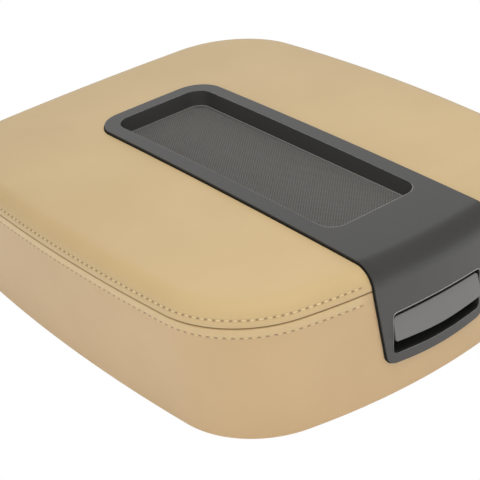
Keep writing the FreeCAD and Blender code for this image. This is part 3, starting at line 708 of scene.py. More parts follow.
class Nodes:
    """Adds nodes to a tree and links them."""

    def __init__(self, tree: bpy.types.NodeTree) -> None:
        """Start on a tree."""
        self.tree = tree

    def add(self, kind: str, settings: dict | None = None, **inputs: object) -> bpy.types.Node:
        """Add a node.

        Args:
            kind: Type name of the node.
            settings: Properties of the node.
            **inputs: Sockets by name, with _ for a space; a socket is linked, a value is set.

        Returns:
            The node.
        """
        node = self.tree.nodes.new(kind)
        for name, value in (settings or {}).items():
            setattr(node, name, value)
        self.fill(node, **inputs)
        return node

    def fill(self, node: bpy.types.Node, **inputs: object) -> None:
        """Feed several inputs of a node.

        Args:
            node: The node.
            **inputs: Sockets by name, with _ for a space; a socket is linked, a value is set.
        """
        for name, value in inputs.items():
            self.feed(node, name.replace("_", " "), value)

    def feed(self, node: bpy.types.Node, name: str | int, value: object) -> None:
        """Link a socket to an input or set the input's value.

        Args:
            node: The node.
            name: Name or number of the input.
            value: A socket or a value.
        """
        target = node.inputs[name]
        if isinstance(value, bpy.types.NodeSocket):
            self.tree.links.new(value, target)
        else:
            target.default_value = value

    def math(self, operation: str, one: object, two: object) -> bpy.types.NodeSocket:
        """Combine two numbers with a math node.

        Args:
            operation: Name of the operation.
            one: First socket or number.
            two: Second socket or number.

        Returns:
            The result's socket.
        """
        node = self.add("ShaderNodeMath", {"operation": operation})
        self.feed(node, 0, one)
        self.feed(node, 1, two)
        return node.outputs[0]


def shader_group(name: str, outputs: Sequence[str]) -> tuple[bpy.types.NodeTree, Nodes, bpy.types.Node]:
    """Start a shader node group.

    Args:
        name: Name of the group.
        outputs: Names of its number outputs.

    Returns:
        The group, its node adder and its output node.
    """
    group = bpy.data.node_groups.new(name, "ShaderNodeTree")
    for output in outputs:
        group.interface.new_socket(name=output, in_out="OUTPUT", socket_type="NodeSocketFloat")
    nodes = Nodes(group)
    return group, nodes, nodes.add("NodeGroupOutput")


def leather_grain() -> bpy.types.NodeTree:
    """Group of the leather's grain: a height, a slow tint and a wear mask.

    Returns:
        The group, built at its first use.
    """
    found = bpy.data.node_groups.get("leather_grain")
    if found:
        return found
    group, nodes, end = shader_group("leather_grain", ("Height", "Tint", "Speck"))
    place = nodes.add("ShaderNodeTexCoord").outputs["Object"]
    cells = nodes.add("ShaderNodeTexVoronoi", {"feature": "SMOOTH_F1"}, Vector=place, Scale=820.0,
                      Smoothness=0.6)
    fine = nodes.add("ShaderNodeTexNoise", Vector=place, Scale=1500.0, Detail=2.0)
    pores = nodes.math("MULTIPLY", cells.outputs["Distance"], 0.7)
    height = nodes.math("ADD", pores, nodes.math("MULTIPLY", fine.outputs["Fac"], 0.3))
    slow = nodes.add("ShaderNodeTexNoise", Vector=place, Scale=11.0, Detail=3.0, Roughness=0.55)
    dots = nodes.add("ShaderNodeTexVoronoi", Vector=place, Scale=26.0, Randomness=1.0)
    speck = nodes.math("LESS_THAN", dots.outputs["Distance"], 0.012)
    for socket, value in zip(end.inputs, (height, slow.outputs["Fac"], speck)):
        nodes.tree.links.new(value, socket)
    return group


def moulded_texture() -> bpy.types.NodeTree:
    """Group of a moulded plastic's surface: a fine height and a slow tint.

    Returns:
        The group, built at its first use.
    """
    found = bpy.data.node_groups.get("moulded_texture")
    if found:
        return found
    group, nodes, end = shader_group("moulded_texture", ("Height", "Tint"))
    place = nodes.add("ShaderNodeTexCoord").outputs["Object"]
    fine = nodes.add("ShaderNodeTexNoise", Vector=place, Scale=1900.0, Detail=2.0, Roughness=0.6)
    slow = nodes.add("ShaderNodeTexNoise", Vector=place, Scale=18.0, Detail=2.0)
    nodes.tree.links.new(fine.outputs["Fac"], end.inputs["Height"])
    nodes.tree.links.new(slow.outputs["Fac"], end.inputs["Tint"])
    return group


def moulded_relief(nodes: Nodes, strength: float) -> tuple[bpy.types.Node, bpy.types.NodeSocket]:
    """Place the moulded texture and its relief in a material.

    Args:
        nodes: Adder on the material's tree.
        strength: Strength of the relief.

    Returns:
        The texture's node and the normal.
    """
    texture = nodes.add("ShaderNodeGroup", {"node_tree": moulded_texture()})
    bump = nodes.add("ShaderNodeBump", Strength=strength, Distance=0.0002, Height=texture.outputs["Height"])
    return texture, bump.outputs["Normal"]


def geometry_tree(name: str, inputs: dict[str, str]) -> tuple[Nodes, bpy.types.bpy_prop_collection]:
    """Start a geometry node tree that takes a geometry, sizes and a material.

    Args:
        name: Name of the tree.
        inputs: Kind of each size's socket, by its name.

    Returns:
        The tree's node adder and the outputs of its input node.
    """
    tree = bpy.data.node_groups.new(name, "GeometryNodeTree")
    for label, kind in {"Geometry": "Geometry", **inputs, "Material": "Material"}.items():
        tree.interface.new_socket(name=label, in_out="INPUT", socket_type=f"NodeSocket{kind}")
    tree.interface.new_socket(name="Geometry", in_out="OUTPUT", socket_type="NodeSocketGeometry")
    nodes = Nodes(tree)
    return nodes, nodes.add("NodeGroupInput").outputs


Colour = tuple[float, float, float]
Tone = Colour | bpy.types.NodeSocket


@dataclass(frozen=True)
class Finish(ABC):
    """Procedural finish of a surface.

    Attributes:
        name: Name of the finish.
        light: Its lighter colour.
        dark: Its darker colour.
    """

    name: str
    light: Colour
    dark: Colour

    @property
    def label(self) -> str:
        """Name of the finish's own material, apart from the slots of the record."""
        return f"{self.name}_finish"

    def material(self) -> bpy.types.Material:
        """Give the finish's material, built at its first use."""
        return bpy.data.materials.get(self.label) or self.make()

    def make(self) -> bpy.types.Material:
        """Build the material round a Principled shader.

        Returns:
            The new material.
        """
        material = bpy.data.materials.new(self.label)
        material.use_nodes = True
        material.node_tree.nodes.clear()
        nodes = Nodes(material.node_tree)
        shader = nodes.add("ShaderNodeBsdfPrincipled")
        self.surface(nodes, shader)
        nodes.add("ShaderNodeOutputMaterial", Surface=shader.outputs["BSDF"])
        return material

    @abstractmethod
    def surface(self, nodes: Nodes, shader: bpy.types.Node) -> None:
        """Set the shader's colour, gloss and relief.

        Args:
            nodes: Adder on the material's tree.
            shader: The Principled shader.
        """


def tinted(nodes: Nodes, share: bpy.types.NodeSocket, one: Tone, two: Tone) -> bpy.types.NodeSocket:
    """Blend two colours by a varying share.

    Args:
        nodes: Adder on the material's tree.
        share: The share of the second colour.
        one: Colour at 0.
        two: Colour at 1.

    Returns:
        The colour socket.
    """
    mix = nodes.add("ShaderNodeMix", {"data_type": "RGBA"})
    nodes.feed(mix, 0, share)
    for place, tone in ((6, one), (7, two)):
        nodes.feed(mix, place, tone if isinstance(tone, bpy.types.NodeSocket) else (*tone, 1.0))
    return mix.outputs[2]


@dataclass(frozen=True)
class LeatherFinish(Finish):
    """Coated leather with a very fine grain and a satin sheen.

    Attributes:
        strip: Colour of the raised strip beside the seam, lighter than the leather as a painted highlight.
        speck_and_shade_colour: Dark colour of the grain's specks, also painted in the stitch holes and in the
            seam's gap as shade.
        roughness: Roughness of its surface.
    """

    # Painted highlight: colour of the sewn strip beside the seam.
    strip: Colour = (0.56, 0.403, 0.203)
    # Dark colour of the real specks and of the painted shade in the stitch holes and the seam's gap.
    speck_and_shade_colour: Colour = (0.11, 0.06, 0.025)
    roughness: float = 0.5

    def surface(self, nodes: Nodes, shader: bpy.types.Node) -> None:
        """Set the leather's colour, gloss and grain.

        Args:
            nodes: Adder on the material's tree.
            shader: The Principled shader.
        """
        grain = nodes.add("ShaderNodeGroup", {"node_tree": leather_grain()})
        share = nodes.add("ShaderNodeMapRange", Value=grain.outputs["Tint"], From_Min=0.35, From_Max=0.65)
        body = tinted(nodes, share.outputs["Result"], self.light, self.dark)
        speck = nodes.math("MULTIPLY", grain.outputs["Speck"], 0.35)
        # Painted highlight: the stored strip share tints the sewn strip lighter.
        strip = nodes.add("ShaderNodeAttribute", {"attribute_name": "strip"}).outputs["Fac"]
        # Painted shade: the stored share darkens the seam's gap and the stitch holes; the grain's specks are
        # real spots. Both pull the colour dark, and the strip's painted highlight is mixed in too.
        hole_shade = nodes.add("ShaderNodeAttribute", {"attribute_name": "hole_shade"}).outputs["Fac"]
        holes = nodes.math("MAXIMUM", speck, nodes.math("MULTIPLY", hole_shade, 0.8))
        specks_and_painted_light = tinted(nodes, holes, tinted(nodes, strip, body, self.strip), self.speck_and_shade_colour)
        relief = nodes.add("ShaderNodeBump", Strength=0.16, Distance=0.0003, Height=grain.outputs["Height"])
        nodes.fill(shader, Base_Color=specks_and_painted_light, Roughness=self.roughness, Specular_IOR_Level=0.5,
                   Sheen_Weight=0.08, Normal=relief.outputs["Normal"])


@dataclass(frozen=True)
class MouldedFinish(Finish):
    """Moulded plastic or rubber with a fine texture.

    Attributes:
        roughness: Roughness of its surface.
        relief: Strength of its texture.
        specular: Strength of its gloss.
    """

    roughness: float = 0.45
    relief: float = 0.12
    specular: float = 0.5

    def surface(self, nodes: Nodes, shader: bpy.types.Node) -> None:
        """Set the plastic's colour, gloss and texture.

        Args:
            nodes: Adder on the material's tree.
            shader: The Principled shader.
        """
        texture, normal = moulded_relief(nodes, self.relief)
        colour = tinted(nodes, texture.outputs["Tint"], self.light, self.dark)
        nodes.fill(shader, Base_Color=colour, Roughness=self.roughness, Specular_IOR_Level=self.specular,
                   Normal=normal)


@dataclass(frozen=True)
class RibbedFinish(Finish):
    """Rubber with painted shade and highlight by height: dark in the grooves between its ribs, light on the
    ribs and on the raised lip.

    Attributes:
        floor: Height of the grooves in millimetres, where the painted shade is darkest.
        rise: Height of the ribs above them.
    """

    floor: float
    rise: float

    def surface(self, nodes: Nodes, shader: bpy.types.Node) -> None:
        """Set the rubber's colour by height as painted shade and highlight, its gloss and its texture.

        Args:
            nodes: Adder on the material's tree.
            shader: The Principled shader.
        """
        place = nodes.add("ShaderNodeTexCoord").outputs["Object"]
        height = nodes.add("ShaderNodeSeparateXYZ", Vector=place).outputs["Z"]
        share = nodes.add("ShaderNodeMapRange", Value=height, From_Min=self.floor * MM,
                          From_Max=(self.floor + self.rise) * MM)
        _, normal = moulded_relief(nodes, 0.3)
        # Painted shade and highlight: darker down in the grooves, lighter up on the ribs and the lip.
        colour = tinted(nodes, share.outputs["Result"], self.dark, self.light)
        nodes.fill(shader, Base_Color=colour, Roughness=0.7, Specular_IOR_Level=0.35, Normal=normal)


@dataclass(frozen=True)
class MetalFinish(Finish):
    """Plated or painted steel with faint rolling marks.

    Attributes:
        metallic: How metallic it is, from 0 to 1.
        roughness: Roughness of its surface.
    """

    metallic: float = 1.0
    roughness: float = 0.34

    def surface(self, nodes: Nodes, shader: bpy.types.Node) -> None:
        """Set the metal's colour, gloss and rolling marks.

        Args:
            nodes: Adder on the material's tree.
            shader: The Principled shader.
        """
        place = nodes.add("ShaderNodeTexCoord").outputs["Object"]
        drawn = nodes.add("ShaderNodeMapping", Vector=place, Scale=(40.0, 900.0, 900.0))
        marks = nodes.add("ShaderNodeTexNoise", Vector=drawn.outputs["Vector"], Scale=1.0, Detail=3.0)
        rough = nodes.add("ShaderNodeMapRange", Value=marks.outputs["Fac"], To_Min=self.roughness - 0.06,
                          To_Max=self.roughness + 0.1)
        colour = tinted(nodes, marks.outputs["Fac"], self.light, self.dark)
        nodes.fill(shader, Base_Color=colour, Metallic=self.metallic, Roughness=rough.outputs["Result"])


@dataclass(frozen=True)
class FoamFinish(Finish):
    """Open foam with small pores, painted darker in their pits as shade."""

    def surface(self, nodes: Nodes, shader: bpy.types.Node) -> None:
        """Set the foam's colour and pores.

        Args:
            nodes: Adder on the material's tree.
            shader: The Principled shader.
        """
        place = nodes.add("ShaderNodeTexCoord").outputs["Object"]
        pores = nodes.add("ShaderNodeTexVoronoi", Vector=place, Scale=700.0)
        bump = nodes.add("ShaderNodeBump", Strength=0.5, Distance=0.0006, Height=pores.outputs["Distance"])
        # Painted shade: darker where the pores' bump is lowest.
        colour = tinted(nodes, pores.outputs["Distance"], self.dark, self.light)
        nodes.fill(shader, Base_Color=colour, Roughness=0.95, Normal=bump.outputs["Normal"])


TOP_LEATHER = LeatherFinish("top_leather", (0.535, 0.385, 0.19), (0.505, 0.36, 0.175))
# The band's tan leather, painted a little darker than the top's as shade on the side walls.
BAND_LEATHER_SHADED = LeatherFinish("band_leather_shaded", (0.52, 0.358, 0.184), (0.49, 0.335, 0.17))
THREAD = MouldedFinish("thread", (0.70, 0.54, 0.31), (0.63, 0.48, 0.27), 0.6, 0.3, 0.4)
# Painted shade: near-black colour of a sheet that stands in for the shadow in the gap under the moulding's
# edge.
GAP_SHADE_BLACK = MouldedFinish("gap_shade_black", (0.012, 0.011, 0.010), (0.010, 0.009, 0.008), 0.8, 0.2, 0.2)
BEZEL_PLASTIC = MouldedFinish("bezel_plastic", (0.043, 0.042, 0.040), (0.038, 0.037, 0.036), 0.46)
# Painted highlight: light grey on the fine ridges round the pocket's and the well's mouths stands in for the
# glint on their edges.
EDGE_HIGHLIGHT_PAINT = MouldedFinish("bead_painted_highlight", (0.42, 0.415, 0.405), (0.38, 0.375, 0.365), 0.35)
HANDLE_PLASTIC = MouldedFinish("handle_plastic", (0.145, 0.143, 0.139), (0.13, 0.128, 0.124), 0.4)
# The mat's ribbed rubber, painted dark in the grooves as shade and light on the ribs and lip as highlight.
MAT_RUBBER = RibbedFinish("mat_rubber", (0.17, 0.164, 0.152), (0.075, 0.072, 0.067), MAT_GROOVES, 0.3)
SHELL_PLASTIC = MouldedFinish("shell_plastic", (0.028, 0.028, 0.029), (0.022, 0.022, 0.023), 0.55)
LINER_PLASTIC = MouldedFinish("liner_plastic", (0.05, 0.05, 0.05), (0.043, 0.043, 0.043), 0.6, 0.35)
HOOK_PLASTIC = MouldedFinish("hook_plastic", (0.035, 0.035, 0.036), (0.03, 0.03, 0.031), 0.4)
STOP_RUBBER = MouldedFinish("stop_rubber", (0.02, 0.02, 0.02), (0.016, 0.016, 0.016), 0.8, 0.2, 0.3)
PLATED_STEEL = MetalFinish("plated_steel", (0.62, 0.61, 0.58), (0.52, 0.51, 0.49))
PAINTED_STEEL = MetalFinish("painted_steel", (0.03, 0.03, 0.032), (0.024, 0.024, 0.026), 0.2, 0.42)
FOAM = FoamFinish("foam", (0.62, 0.58, 0.44), (0.46, 0.42, 0.31))


def enrol(piece: bpy.types.Object, finish: Finish, body: Body, slot: Slot, *nodes: str) -> None:
    """Give a piece its finish and its place in the frame.

    Args:
        piece: The finished piece.
        finish: Its finish.
        body: The body it rides on.
        slot: The record's material slot; not used.
        *nodes: CAD nodes that it stands for.
    """
    piece.data.materials.clear()
    piece.data.materials.append(finish.material())
    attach(piece, body.value)
    if nodes:
        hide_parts(*nodes)
    log.info("%s: %d faces", piece.name, len(piece.data.polygons))


@dataclass(frozen=True)
class BezelPlan:
    """Outlines of the tray bezel and of the opening that it covers, in millimetres.

    Attributes:
        proud: How far the moulding stands off the leather.
        rear_half: Half of its width at the rear.
        front_half: Half of its width at the front reach.
        front_reach: How far in front of the lid's middle the front width is measured.
        rear_y: Its rear edge along Y.
        rear_radius: Radius of its rear corners.
        apron_half: Half of the apron's width at its foot.
        apron_side_z: Height of the foot at the apron's sides.
        apron_low_z: Height of the foot in the middle.
        apron_low_radius: Radius of the bowed foot.
        apron_radius: Radius of the apron's lower corners.
        kink_z: Height at which the apron's sides turn in.
        kink_radius: Radius of that turn.
        lap: How far the rim covers the leather.
        apron_lap: How far the apron covers it.
        waist_z: Height at which the opening in the leather turns in.
        well_half: Half of the tray well's width, halfway along it.
        well_taper: How much that half grows to the rear and shrinks to the front.
        well_rear: Rear of the well along Y.
        well_front: Front of the well along Y.
        well_radius: Radius of its corners.
        well_draft: How far its walls run in.
        well_floor: Height of its floor.
        pocket_half: Half of the latch pocket's width.
        pocket_top: Height of the pocket's top.
        pocket_mid: Height of the points that divide its sides.
        pocket_side: Height of its lower corners.
        pocket_low: Height of its bowed lower edge.
        pocket_low_radius: Radius of that edge.
        pocket_radius: Radius of the pocket's corners.
        pocket_back: Back of the pocket along Y.
        window_z: Height of the middle of the lever's window.
        window_half: Half of that window's width and height.
        cut_heights: Floor and top of the form that opens the leather's top.
        cut_depths: Front and back of the form that opens its front.
    """

    proud: float = 2.3
    rear_half: float = 51.3
    front_half: float = 51.7
    front_reach: float = 225.0
    rear_y: float = 113.9
    rear_radius: float = 22.0
    apron_half: float = 41.8
    apron_side_z: float = 27.0
    apron_low_z: float = 22.9
    apron_low_radius: float = 260.0
    apron_radius: float = 8.5
    kink_z: float = 89.05
    kink_radius: float = 70.0
    lap: float = 5.0
    apron_lap: float = 3.0
    waist_z: float = 80.5
    well_half: float = 39.6
    well_taper: float = 0.8
    well_rear: float = 102.6
    well_front: float = -141.3
    well_radius: float = 13.0
    well_draft: float = 1.5
    well_floor: float = 92.4
    pocket_half: float = 38.0
    pocket_top: float = 64.6
    pocket_mid: float = 52.0
    pocket_side: float = 34.2
    pocket_low: float = 31.3
    pocket_low_radius: float = 250.0
    pocket_radius: float = 3.5
    pocket_back: float = -172.0
    window_z: float = 49.0
    window_half: tuple[float, float] = (6.2, 9.0)
    cut_heights: tuple[float, float] = (89.0, 130.0)
    cut_depths: tuple[float, float] = (-230.0, -160.0)

    def half_at(self, y: float) -> float:
        """Half of the bezel's width on the top."""
        share = (self.rear_y - y) / (self.rear_y + self.front_reach)
        return self.rear_half + (self.front_half - self.rear_half) * share

    def well_outline(self, inset: float, steps: int, sides: Sequence[int]) -> np.ndarray:
        """Sample the tray well, which widens to the rear.

        Args:
            inset: Distance in from the well's mouth.
            steps: Points of each corner.
            sides: Points of the front, right, rear and left side.

        Returns:
            Rows of x and y.
        """
        front, rear = self.well_front + inset, self.well_rear - inset
        near = self.well_half - self.well_taper - inset
        far = self.well_half + self.well_taper - inset
        places = ((-near, front), (near, front), (far, rear), (-far, rear))
        return outline([Corner(x, y, self.well_radius - inset, steps=steps, side=side)
                        for (x, y), side in zip(places, sides)])

    def leather_cutters(self) -> list[bpy.types.Object]:
        """Forms that cut the bezel's opening out of the leather, hidden under its edge.

        Returns:
            The form for the top and the form for the front.
        """
        rear = self.rear_half - self.lap
        front = self.half_at(-self.front_reach) - self.lap
        radius = self.rear_radius - self.lap
        far = self.front_reach
        plan = outline([Corner(-front, -far), Corner(front, -far),
                        Corner(rear, self.rear_y - self.lap, radius, steps=12),
                        Corner(-rear, self.rear_y - self.lap, radius, steps=12)])
        low, radius = self.apron_half - self.apron_lap, self.apron_radius - self.apron_lap
        side, bottom = (z + self.apron_lap for z in (self.apron_side_z, self.apron_low_z))
        top, waist = self.cut_heights[1], self.waist_z
        face = outline([Corner(front, top), Corner(-front, top), Corner(-front, waist),
                        Corner(-low, side, radius), Corner(0.0, bottom, self.apron_low_radius),
                        Corner(low, side, radius), Corner(front, waist)])
        return [prism("opening_top", plan, Axis.Z, *self.cut_heights),
                prism("opening_front", face, Axis.Y, *self.cut_depths)]


BEZEL = BezelPlan()


@dataclass
class LeatherCover:
    """The sewn leather: a top panel, a side band and two rows of topstitching.

    Attributes:
        per_stitch: Points of the outline for each stitch.
        plain_columns: Points of each half of the front that has no stitches.
        thickness: Thickness of the leather.
        seam_half: Half of the gap between the two sewn edges.
        rows: Distances of the upper and the lower stitch row from the seam.
        pitch: Distance between stitches.
        bare: Half of the front that has no stitches, where the bezel comes down.
        hem: Width of the hem under the rim.
        hem_round: Radius of the fold at the rim.
        groove: Depth and half width of the seam's groove.
        strip_rise: Height of the strip between the seam and a stitch row.
        pull: Depth and half width of the dent along a stitch row.
        pucker: Depth, distance past the row and half width of the puckers.
        notch_half: Half of the hinge notch's width.
        notch_depths: Front and back of that notch along Y.
        notch_heights: Its floor and top.
        stitch_share: Length of a stitch as a share of the pitch.
        thread: Radius of the thread.
        arch: How far a stitch bends.
        sunk: How far a stitch lies in the leather.
        step: Pitch that fits a whole number of stitches.
        along: Distances of the columns along the outline.
        points: Places of the columns in plan.
        normals: Their outward normals.
        stitch_along: Distances of the stitches along the outline.
        sewn: How much each column is sewn, nothing under the bezel.
        holes: How near each column is to the stitches' holes.
        pieces: What was built.
    """

    per_stitch: int = 6
    plain_columns: int = 72
    thickness: float = 1.6
    seam_half: float = 0.15
    rows: tuple[float, float] = (5.5, 7.0)
    pitch: float = 5.3
    bare: float = 60.0
    hem: float = 13.0
    hem_round: float = 2.0
    groove: tuple[float, float] = (1.2, 0.42)
    strip_rise: float = 0.22
    pull: tuple[float, float] = (0.34, 0.8)
    pucker: tuple[float, float, float] = (0.10, 2.4, 2.0)
    notch_half: float = 86.5
    notch_depths: tuple[float, float] = (132.0, 230.0)
    notch_heights: tuple[float, float] = (-20.0, 9.6)
    stitch_share: float = 0.6
    thread: float = 0.5
    arch: float = 0.7
    sunk: float = 0.1
    step: float = field(init=False)
    along: np.ndarray = field(init=False)
    points: np.ndarray = field(init=False)
    normals: np.ndarray = field(init=False)
    stitch_along: np.ndarray = field(init=False)
    sewn: np.ndarray = field(init=False)
    holes: np.ndarray = field(init=False)
    pieces: list[bpy.types.Object] = field(init=False, default_factory=list)

    def __post_init__(self) -> None:
        """Sample the outline once for both panels, with whole columns for each stitch."""
        total = FORM.perimeter()
        stitches = round((total - 2 * self.bare) / self.pitch)
        self.step = (total - 2 * self.bare) / stitches
        plain = np.linspace(0.0, self.bare, self.plain_columns, endpoint=False)
        sewn = self.bare + np.arange(stitches * self.per_stitch + 1) * (self.step / self.per_stitch)
        self.along = np.concatenate([plain, sewn, total - plain[:0:-1]])
        self.points, self.normals = FORM.sample(self.along)
        self.stitch_along = self.bare + (np.arange(stitches) + 0.5) * self.step
        ends = smooth_step(self.bare - 5, self.bare + 2, self.along)
        self.sewn = ends * smooth_step(self.bare - 5, self.bare + 2, total - self.along)
        self.holes = np.cos(np.pi * (self.along - self.bare) / self.step) ** 2

    def relief(self, reach: float) -> np.ndarray:
        """Height of the sewn leather above the plain form.

        Args:
            reach: Distance from the seam.

        Returns:
            The height at every column.
        """
        off, past = abs(reach), abs(reach) - self.row(reach)
        groove = -self.groove[0] * bell(off, self.groove[1])
        rise, fall = smooth_step(0.2, 1.2, np.array(off)), smooth_step(-1.2, 0.4, np.array(past))
        strip = self.strip_rise * float(rise * (1 - fall))
        pulled = -self.pull[0] * bell(past, self.pull[1]) * (0.15 + 0.85 * self.holes)
        depth, beyond, half = self.pucker
        pucker = -depth * bell(past - beyond, half) * (0.3 + self.holes)
        return groove + strip * (0.35 + 0.65 * self.sewn) + (pulled + pucker) * self.sewn

    def row(self, reach: float) -> float:
        """Distance from the seam of the stitch row on the same side."""
        return self.rows[0] if reach > 0 else self.rows[1]

    def near(self, row: float) -> list[float]:
        """Distances from the seam of the rings in a sewn strip, closest at the seam and the row.

        Args:
            row: Distance of the stitch row from the seam.

        Returns:
            The distances.
        """
        at_seam = [self.seam_half, 0.3, 0.5, 0.8, 1.2, 1.8, 2.6, 3.4]
        at_row = [-1.3, -0.8, -0.5, -0.25, 0.0, 0.25, 0.5, 0.8, 1.2, 1.8, 2.7, 3.9, 5.7]
        return at_seam + [row + off for off in at_row]

    def hole_shade(self, reach: float) -> np.ndarray:
        """How much painted shade darkens each column at a distance from the seam, in the seam's gap and in
        the stitch holes.
        """
        across = bell(abs(reach) - self.row(reach), 0.6)
        return np.maximum(bell(reach, 0.3), across * self.holes ** 1.3 * self.sewn)

    def strip_highlight(self, reach: float) -> np.ndarray:
        """How much painted highlight lightens each column of the sewn strip at a distance from the seam."""
        past = np.array(abs(reach) - self.row(reach))
        return self.sewn * (1 - smooth_step(-1.5, 0.5, past))

    def outer(self, reach: np.ndarray | float, relief: bool = True) -> np.ndarray:
        """A ring of the leather's outer face."""
        places, facing = FORM.place(self.points, self.normals, reach)
        return places + facing * self.relief(float(np.mean(reach)))[:, None] if relief else places

    def inner(self, reach: np.ndarray | float) -> np.ndarray:
        """A ring of the leather's inner face."""
        places, facing = FORM.place(self.points, self.normals, reach)
        return places - facing * self.thickness

    def top_panel(self) -> bpy.types.Object:
        """Draw the crowned top panel with the opening for the bezel.

        Returns:
            The panel.
        """
        near = self.near(self.rows[0])
        far = [13.5, 16.0, 19.0, 22.5, 26.5, 31.0, 37.0, 44.0, 52.0, 61.0]
        shares = (0.82, 0.64, 0.46, 0.28)
        rings = [self.outer(reach) for reach in near] + [self.outer(reach, False) for reach in far]
        last = rings[-1]
        rings += [FORM.on_crown(last[:, 0] * s, last[:, 1] * s) for s in shares]
        under = [self.inner(reach) for reach in (self.seam_half, 4.0, 9.0, 16.0, 26.5, 44.0, 61.0)]
        under += [FORM.on_crown(last[:, 0] * s, last[:, 1] * s, -self.thickness) for s in shares]
        draft = MeshDraft()
        face = draft.loft(rings)
        for ring, reach in zip(face, near):
            # Painted shade in the seam's gap and in the stitch holes.
            draft.mark("hole_shade", ring, self.hole_shade(reach))
        back = draft.loft(under)
        draft.strip(back[0], face[0])
        draft.cap(face[-1])
        draft.cap(back[-1], flip=True)
        piece = draft.build("leather_cover_top")
        carve(piece, *BEZEL.leather_cutters())
        return piece

    def side_band(self) -> bpy.types.Object:
        """Draw the side band with its hem and the notches for the bezel and the hinge.

        Returns:
            The band.
        """
        near = [-reach for reach in self.near(self.rows[1])]
        foot = FORM.floor_reach(self.points, self.normals)
        rings = [self.outer(reach) for reach in near]
        for share in (0.06, 0.16, 0.28, 0.4, 0.52, 0.64, 0.76, 0.88):
            rings.append(self.outer(near[-1] + (foot - near[-1] + self.hem_round) * share, False))
        rings += [self.edge(turn) for turn in np.linspace(0.0, math.pi / 2, 6)]
        rings += [self.flat(self.hem * 0.5, 0.0), self.flat(self.hem, 0.0),
                  self.flat(self.hem, self.thickness)]
        rings.append(self.inner(foot + self.thickness + 0.1))
        rings += [self.inner(foot * share) for share in (0.75, 0.5, 0.3)]
        rings += [self.inner(-reach) for reach in (11.5, 6.0, self.seam_half)]
        draft = MeshDraft()
        numbers = draft.loft(rings)
        for ring, reach in zip(numbers, near):
            # Painted shade in the seam's gap and in the stitch holes.
            draft.mark("hole_shade", ring, self.hole_shade(reach))
            # Painted highlight on the sewn strip below the seam.
            draft.mark("strip", ring, self.strip_highlight(reach))
        draft.strip(numbers[-1], numbers[0])
        piece = draft.build("leather_cover_band")
        half, (front, back) = self.notch_half, self.notch_depths
        notch = np.array([(-half, front), (half, front), (half, back), (-half, back)])
        carve(piece, *BEZEL.leather_cutters(), prism("hinge_notch", notch, Axis.Z, *self.notch_heights))
        return piece

    def flat(self, into: float, height: float) -> np.ndarray:
        """A level ring that is set in from the foot of the wall."""
        plan = self.points - self.normals * (FORM.draft + into)
        return np.column_stack([plan, np.full(len(plan), height)])

    def edge(self, turn: float) -> np.ndarray:
        """A ring of the round at the foot of the wall.

        Args:
            turn: Angle round the fold, in radians.

        Returns:
            Rows of x, y and z.
        """
        radius = self.hem_round
        into = radius - radius * math.cos(turn)
        lean_in = FORM.draft * (radius / FORM.shoulder) * math.cos(turn)
        return self.flat(into - lean_in, radius - radius * math.sin(turn))

    def stitch_points(self) -> bpy.types.Object:
        """Mark the middle of every stitch, with its thread's and the leather's direction.

        Returns:
            An object of loose points with the attributes outward and along.
        """
        points, normals = FORM.sample(self.stitch_along)
        places, outward = [], []
        for reach in (self.rows[0], -self.rows[1]):
            row, facing = FORM.place(points, normals, reach)
            places.append(row - facing * self.sunk)
            outward.append(facing)
        along = np.column_stack([-normals[:, 1], normals[:, 0], np.zeros(len(normals))])
        draft = MeshDraft()
        draft.ring(np.vstack(places))
        piece = draft.build("topstitching")
        for name, rows in (("outward", np.vstack(outward)), ("along", np.vstack([along, along]))):
            layer = piece.data.attributes.new(name, "FLOAT_VECTOR", "POINT")
            layer.data.foreach_set("vector", rows.ravel())
        return piece

    def stitch_tree(self) -> bpy.types.NodeTree:
        """Geometry nodes that lay a bent thread at every point.

        Returns:
            The tree.
        """
        sizes = dict.fromkeys(("Stitch Length", "Thread Radius", "Arch"), "Float")
        nodes, start = geometry_tree("stitch_row", sizes)
        half = nodes.math("MULTIPLY", start["Stitch Length"], 0.5)
        down = nodes.math("MULTIPLY", start["Arch"], -1.0)
        one = nodes.add("ShaderNodeCombineXYZ", X=nodes.math("MULTIPLY", half, -1.0), Z=down)
        middle = nodes.add("ShaderNodeCombineXYZ", Z=start["Arch"])
        two = nodes.add("ShaderNodeCombineXYZ", X=half, Z=down)
        bend = nodes.add("GeometryNodeCurveQuadraticBezier", Resolution=7, Start=one.outputs[0],
                         Middle=middle.outputs[0], End=two.outputs[0])
        ring = nodes.add("GeometryNodeCurvePrimitiveCircle", Resolution=6, Radius=start["Thread Radius"])
        thread = nodes.add("GeometryNodeCurveToMesh", Curve=bend.outputs["Curve"],
                           Profile_Curve=ring.outputs["Curve"], Fill_Caps=True)
        outward = nodes.add("GeometryNodeInputNamedAttribute", {"data_type": "FLOAT_VECTOR"}, Name="outward")
        along = nodes.add("GeometryNodeInputNamedAttribute", {"data_type": "FLOAT_VECTOR"}, Name="along")
        turn = nodes.add("FunctionNodeAxesToRotation", {"primary_axis": "Z", "secondary_axis": "X"},
                         Primary_Axis=outward.outputs[0], Secondary_Axis=along.outputs[0])
        laid = nodes.add("GeometryNodeInstanceOnPoints", Points=start["Geometry"],
                         Instance=thread.outputs["Mesh"], Rotation=turn.outputs["Rotation"])
        real = nodes.add("GeometryNodeRealizeInstances", Geometry=laid.outputs["Instances"])
        smooth = nodes.add("GeometryNodeSetShadeSmooth", Geometry=real.outputs["Geometry"])
        dressed = nodes.add("GeometryNodeSetMaterial", Geometry=smooth.outputs["Geometry"],
                            Material=start["Material"])
        nodes.add("NodeGroupOutput", Geometry=dressed.outputs["Geometry"])
        return nodes.tree

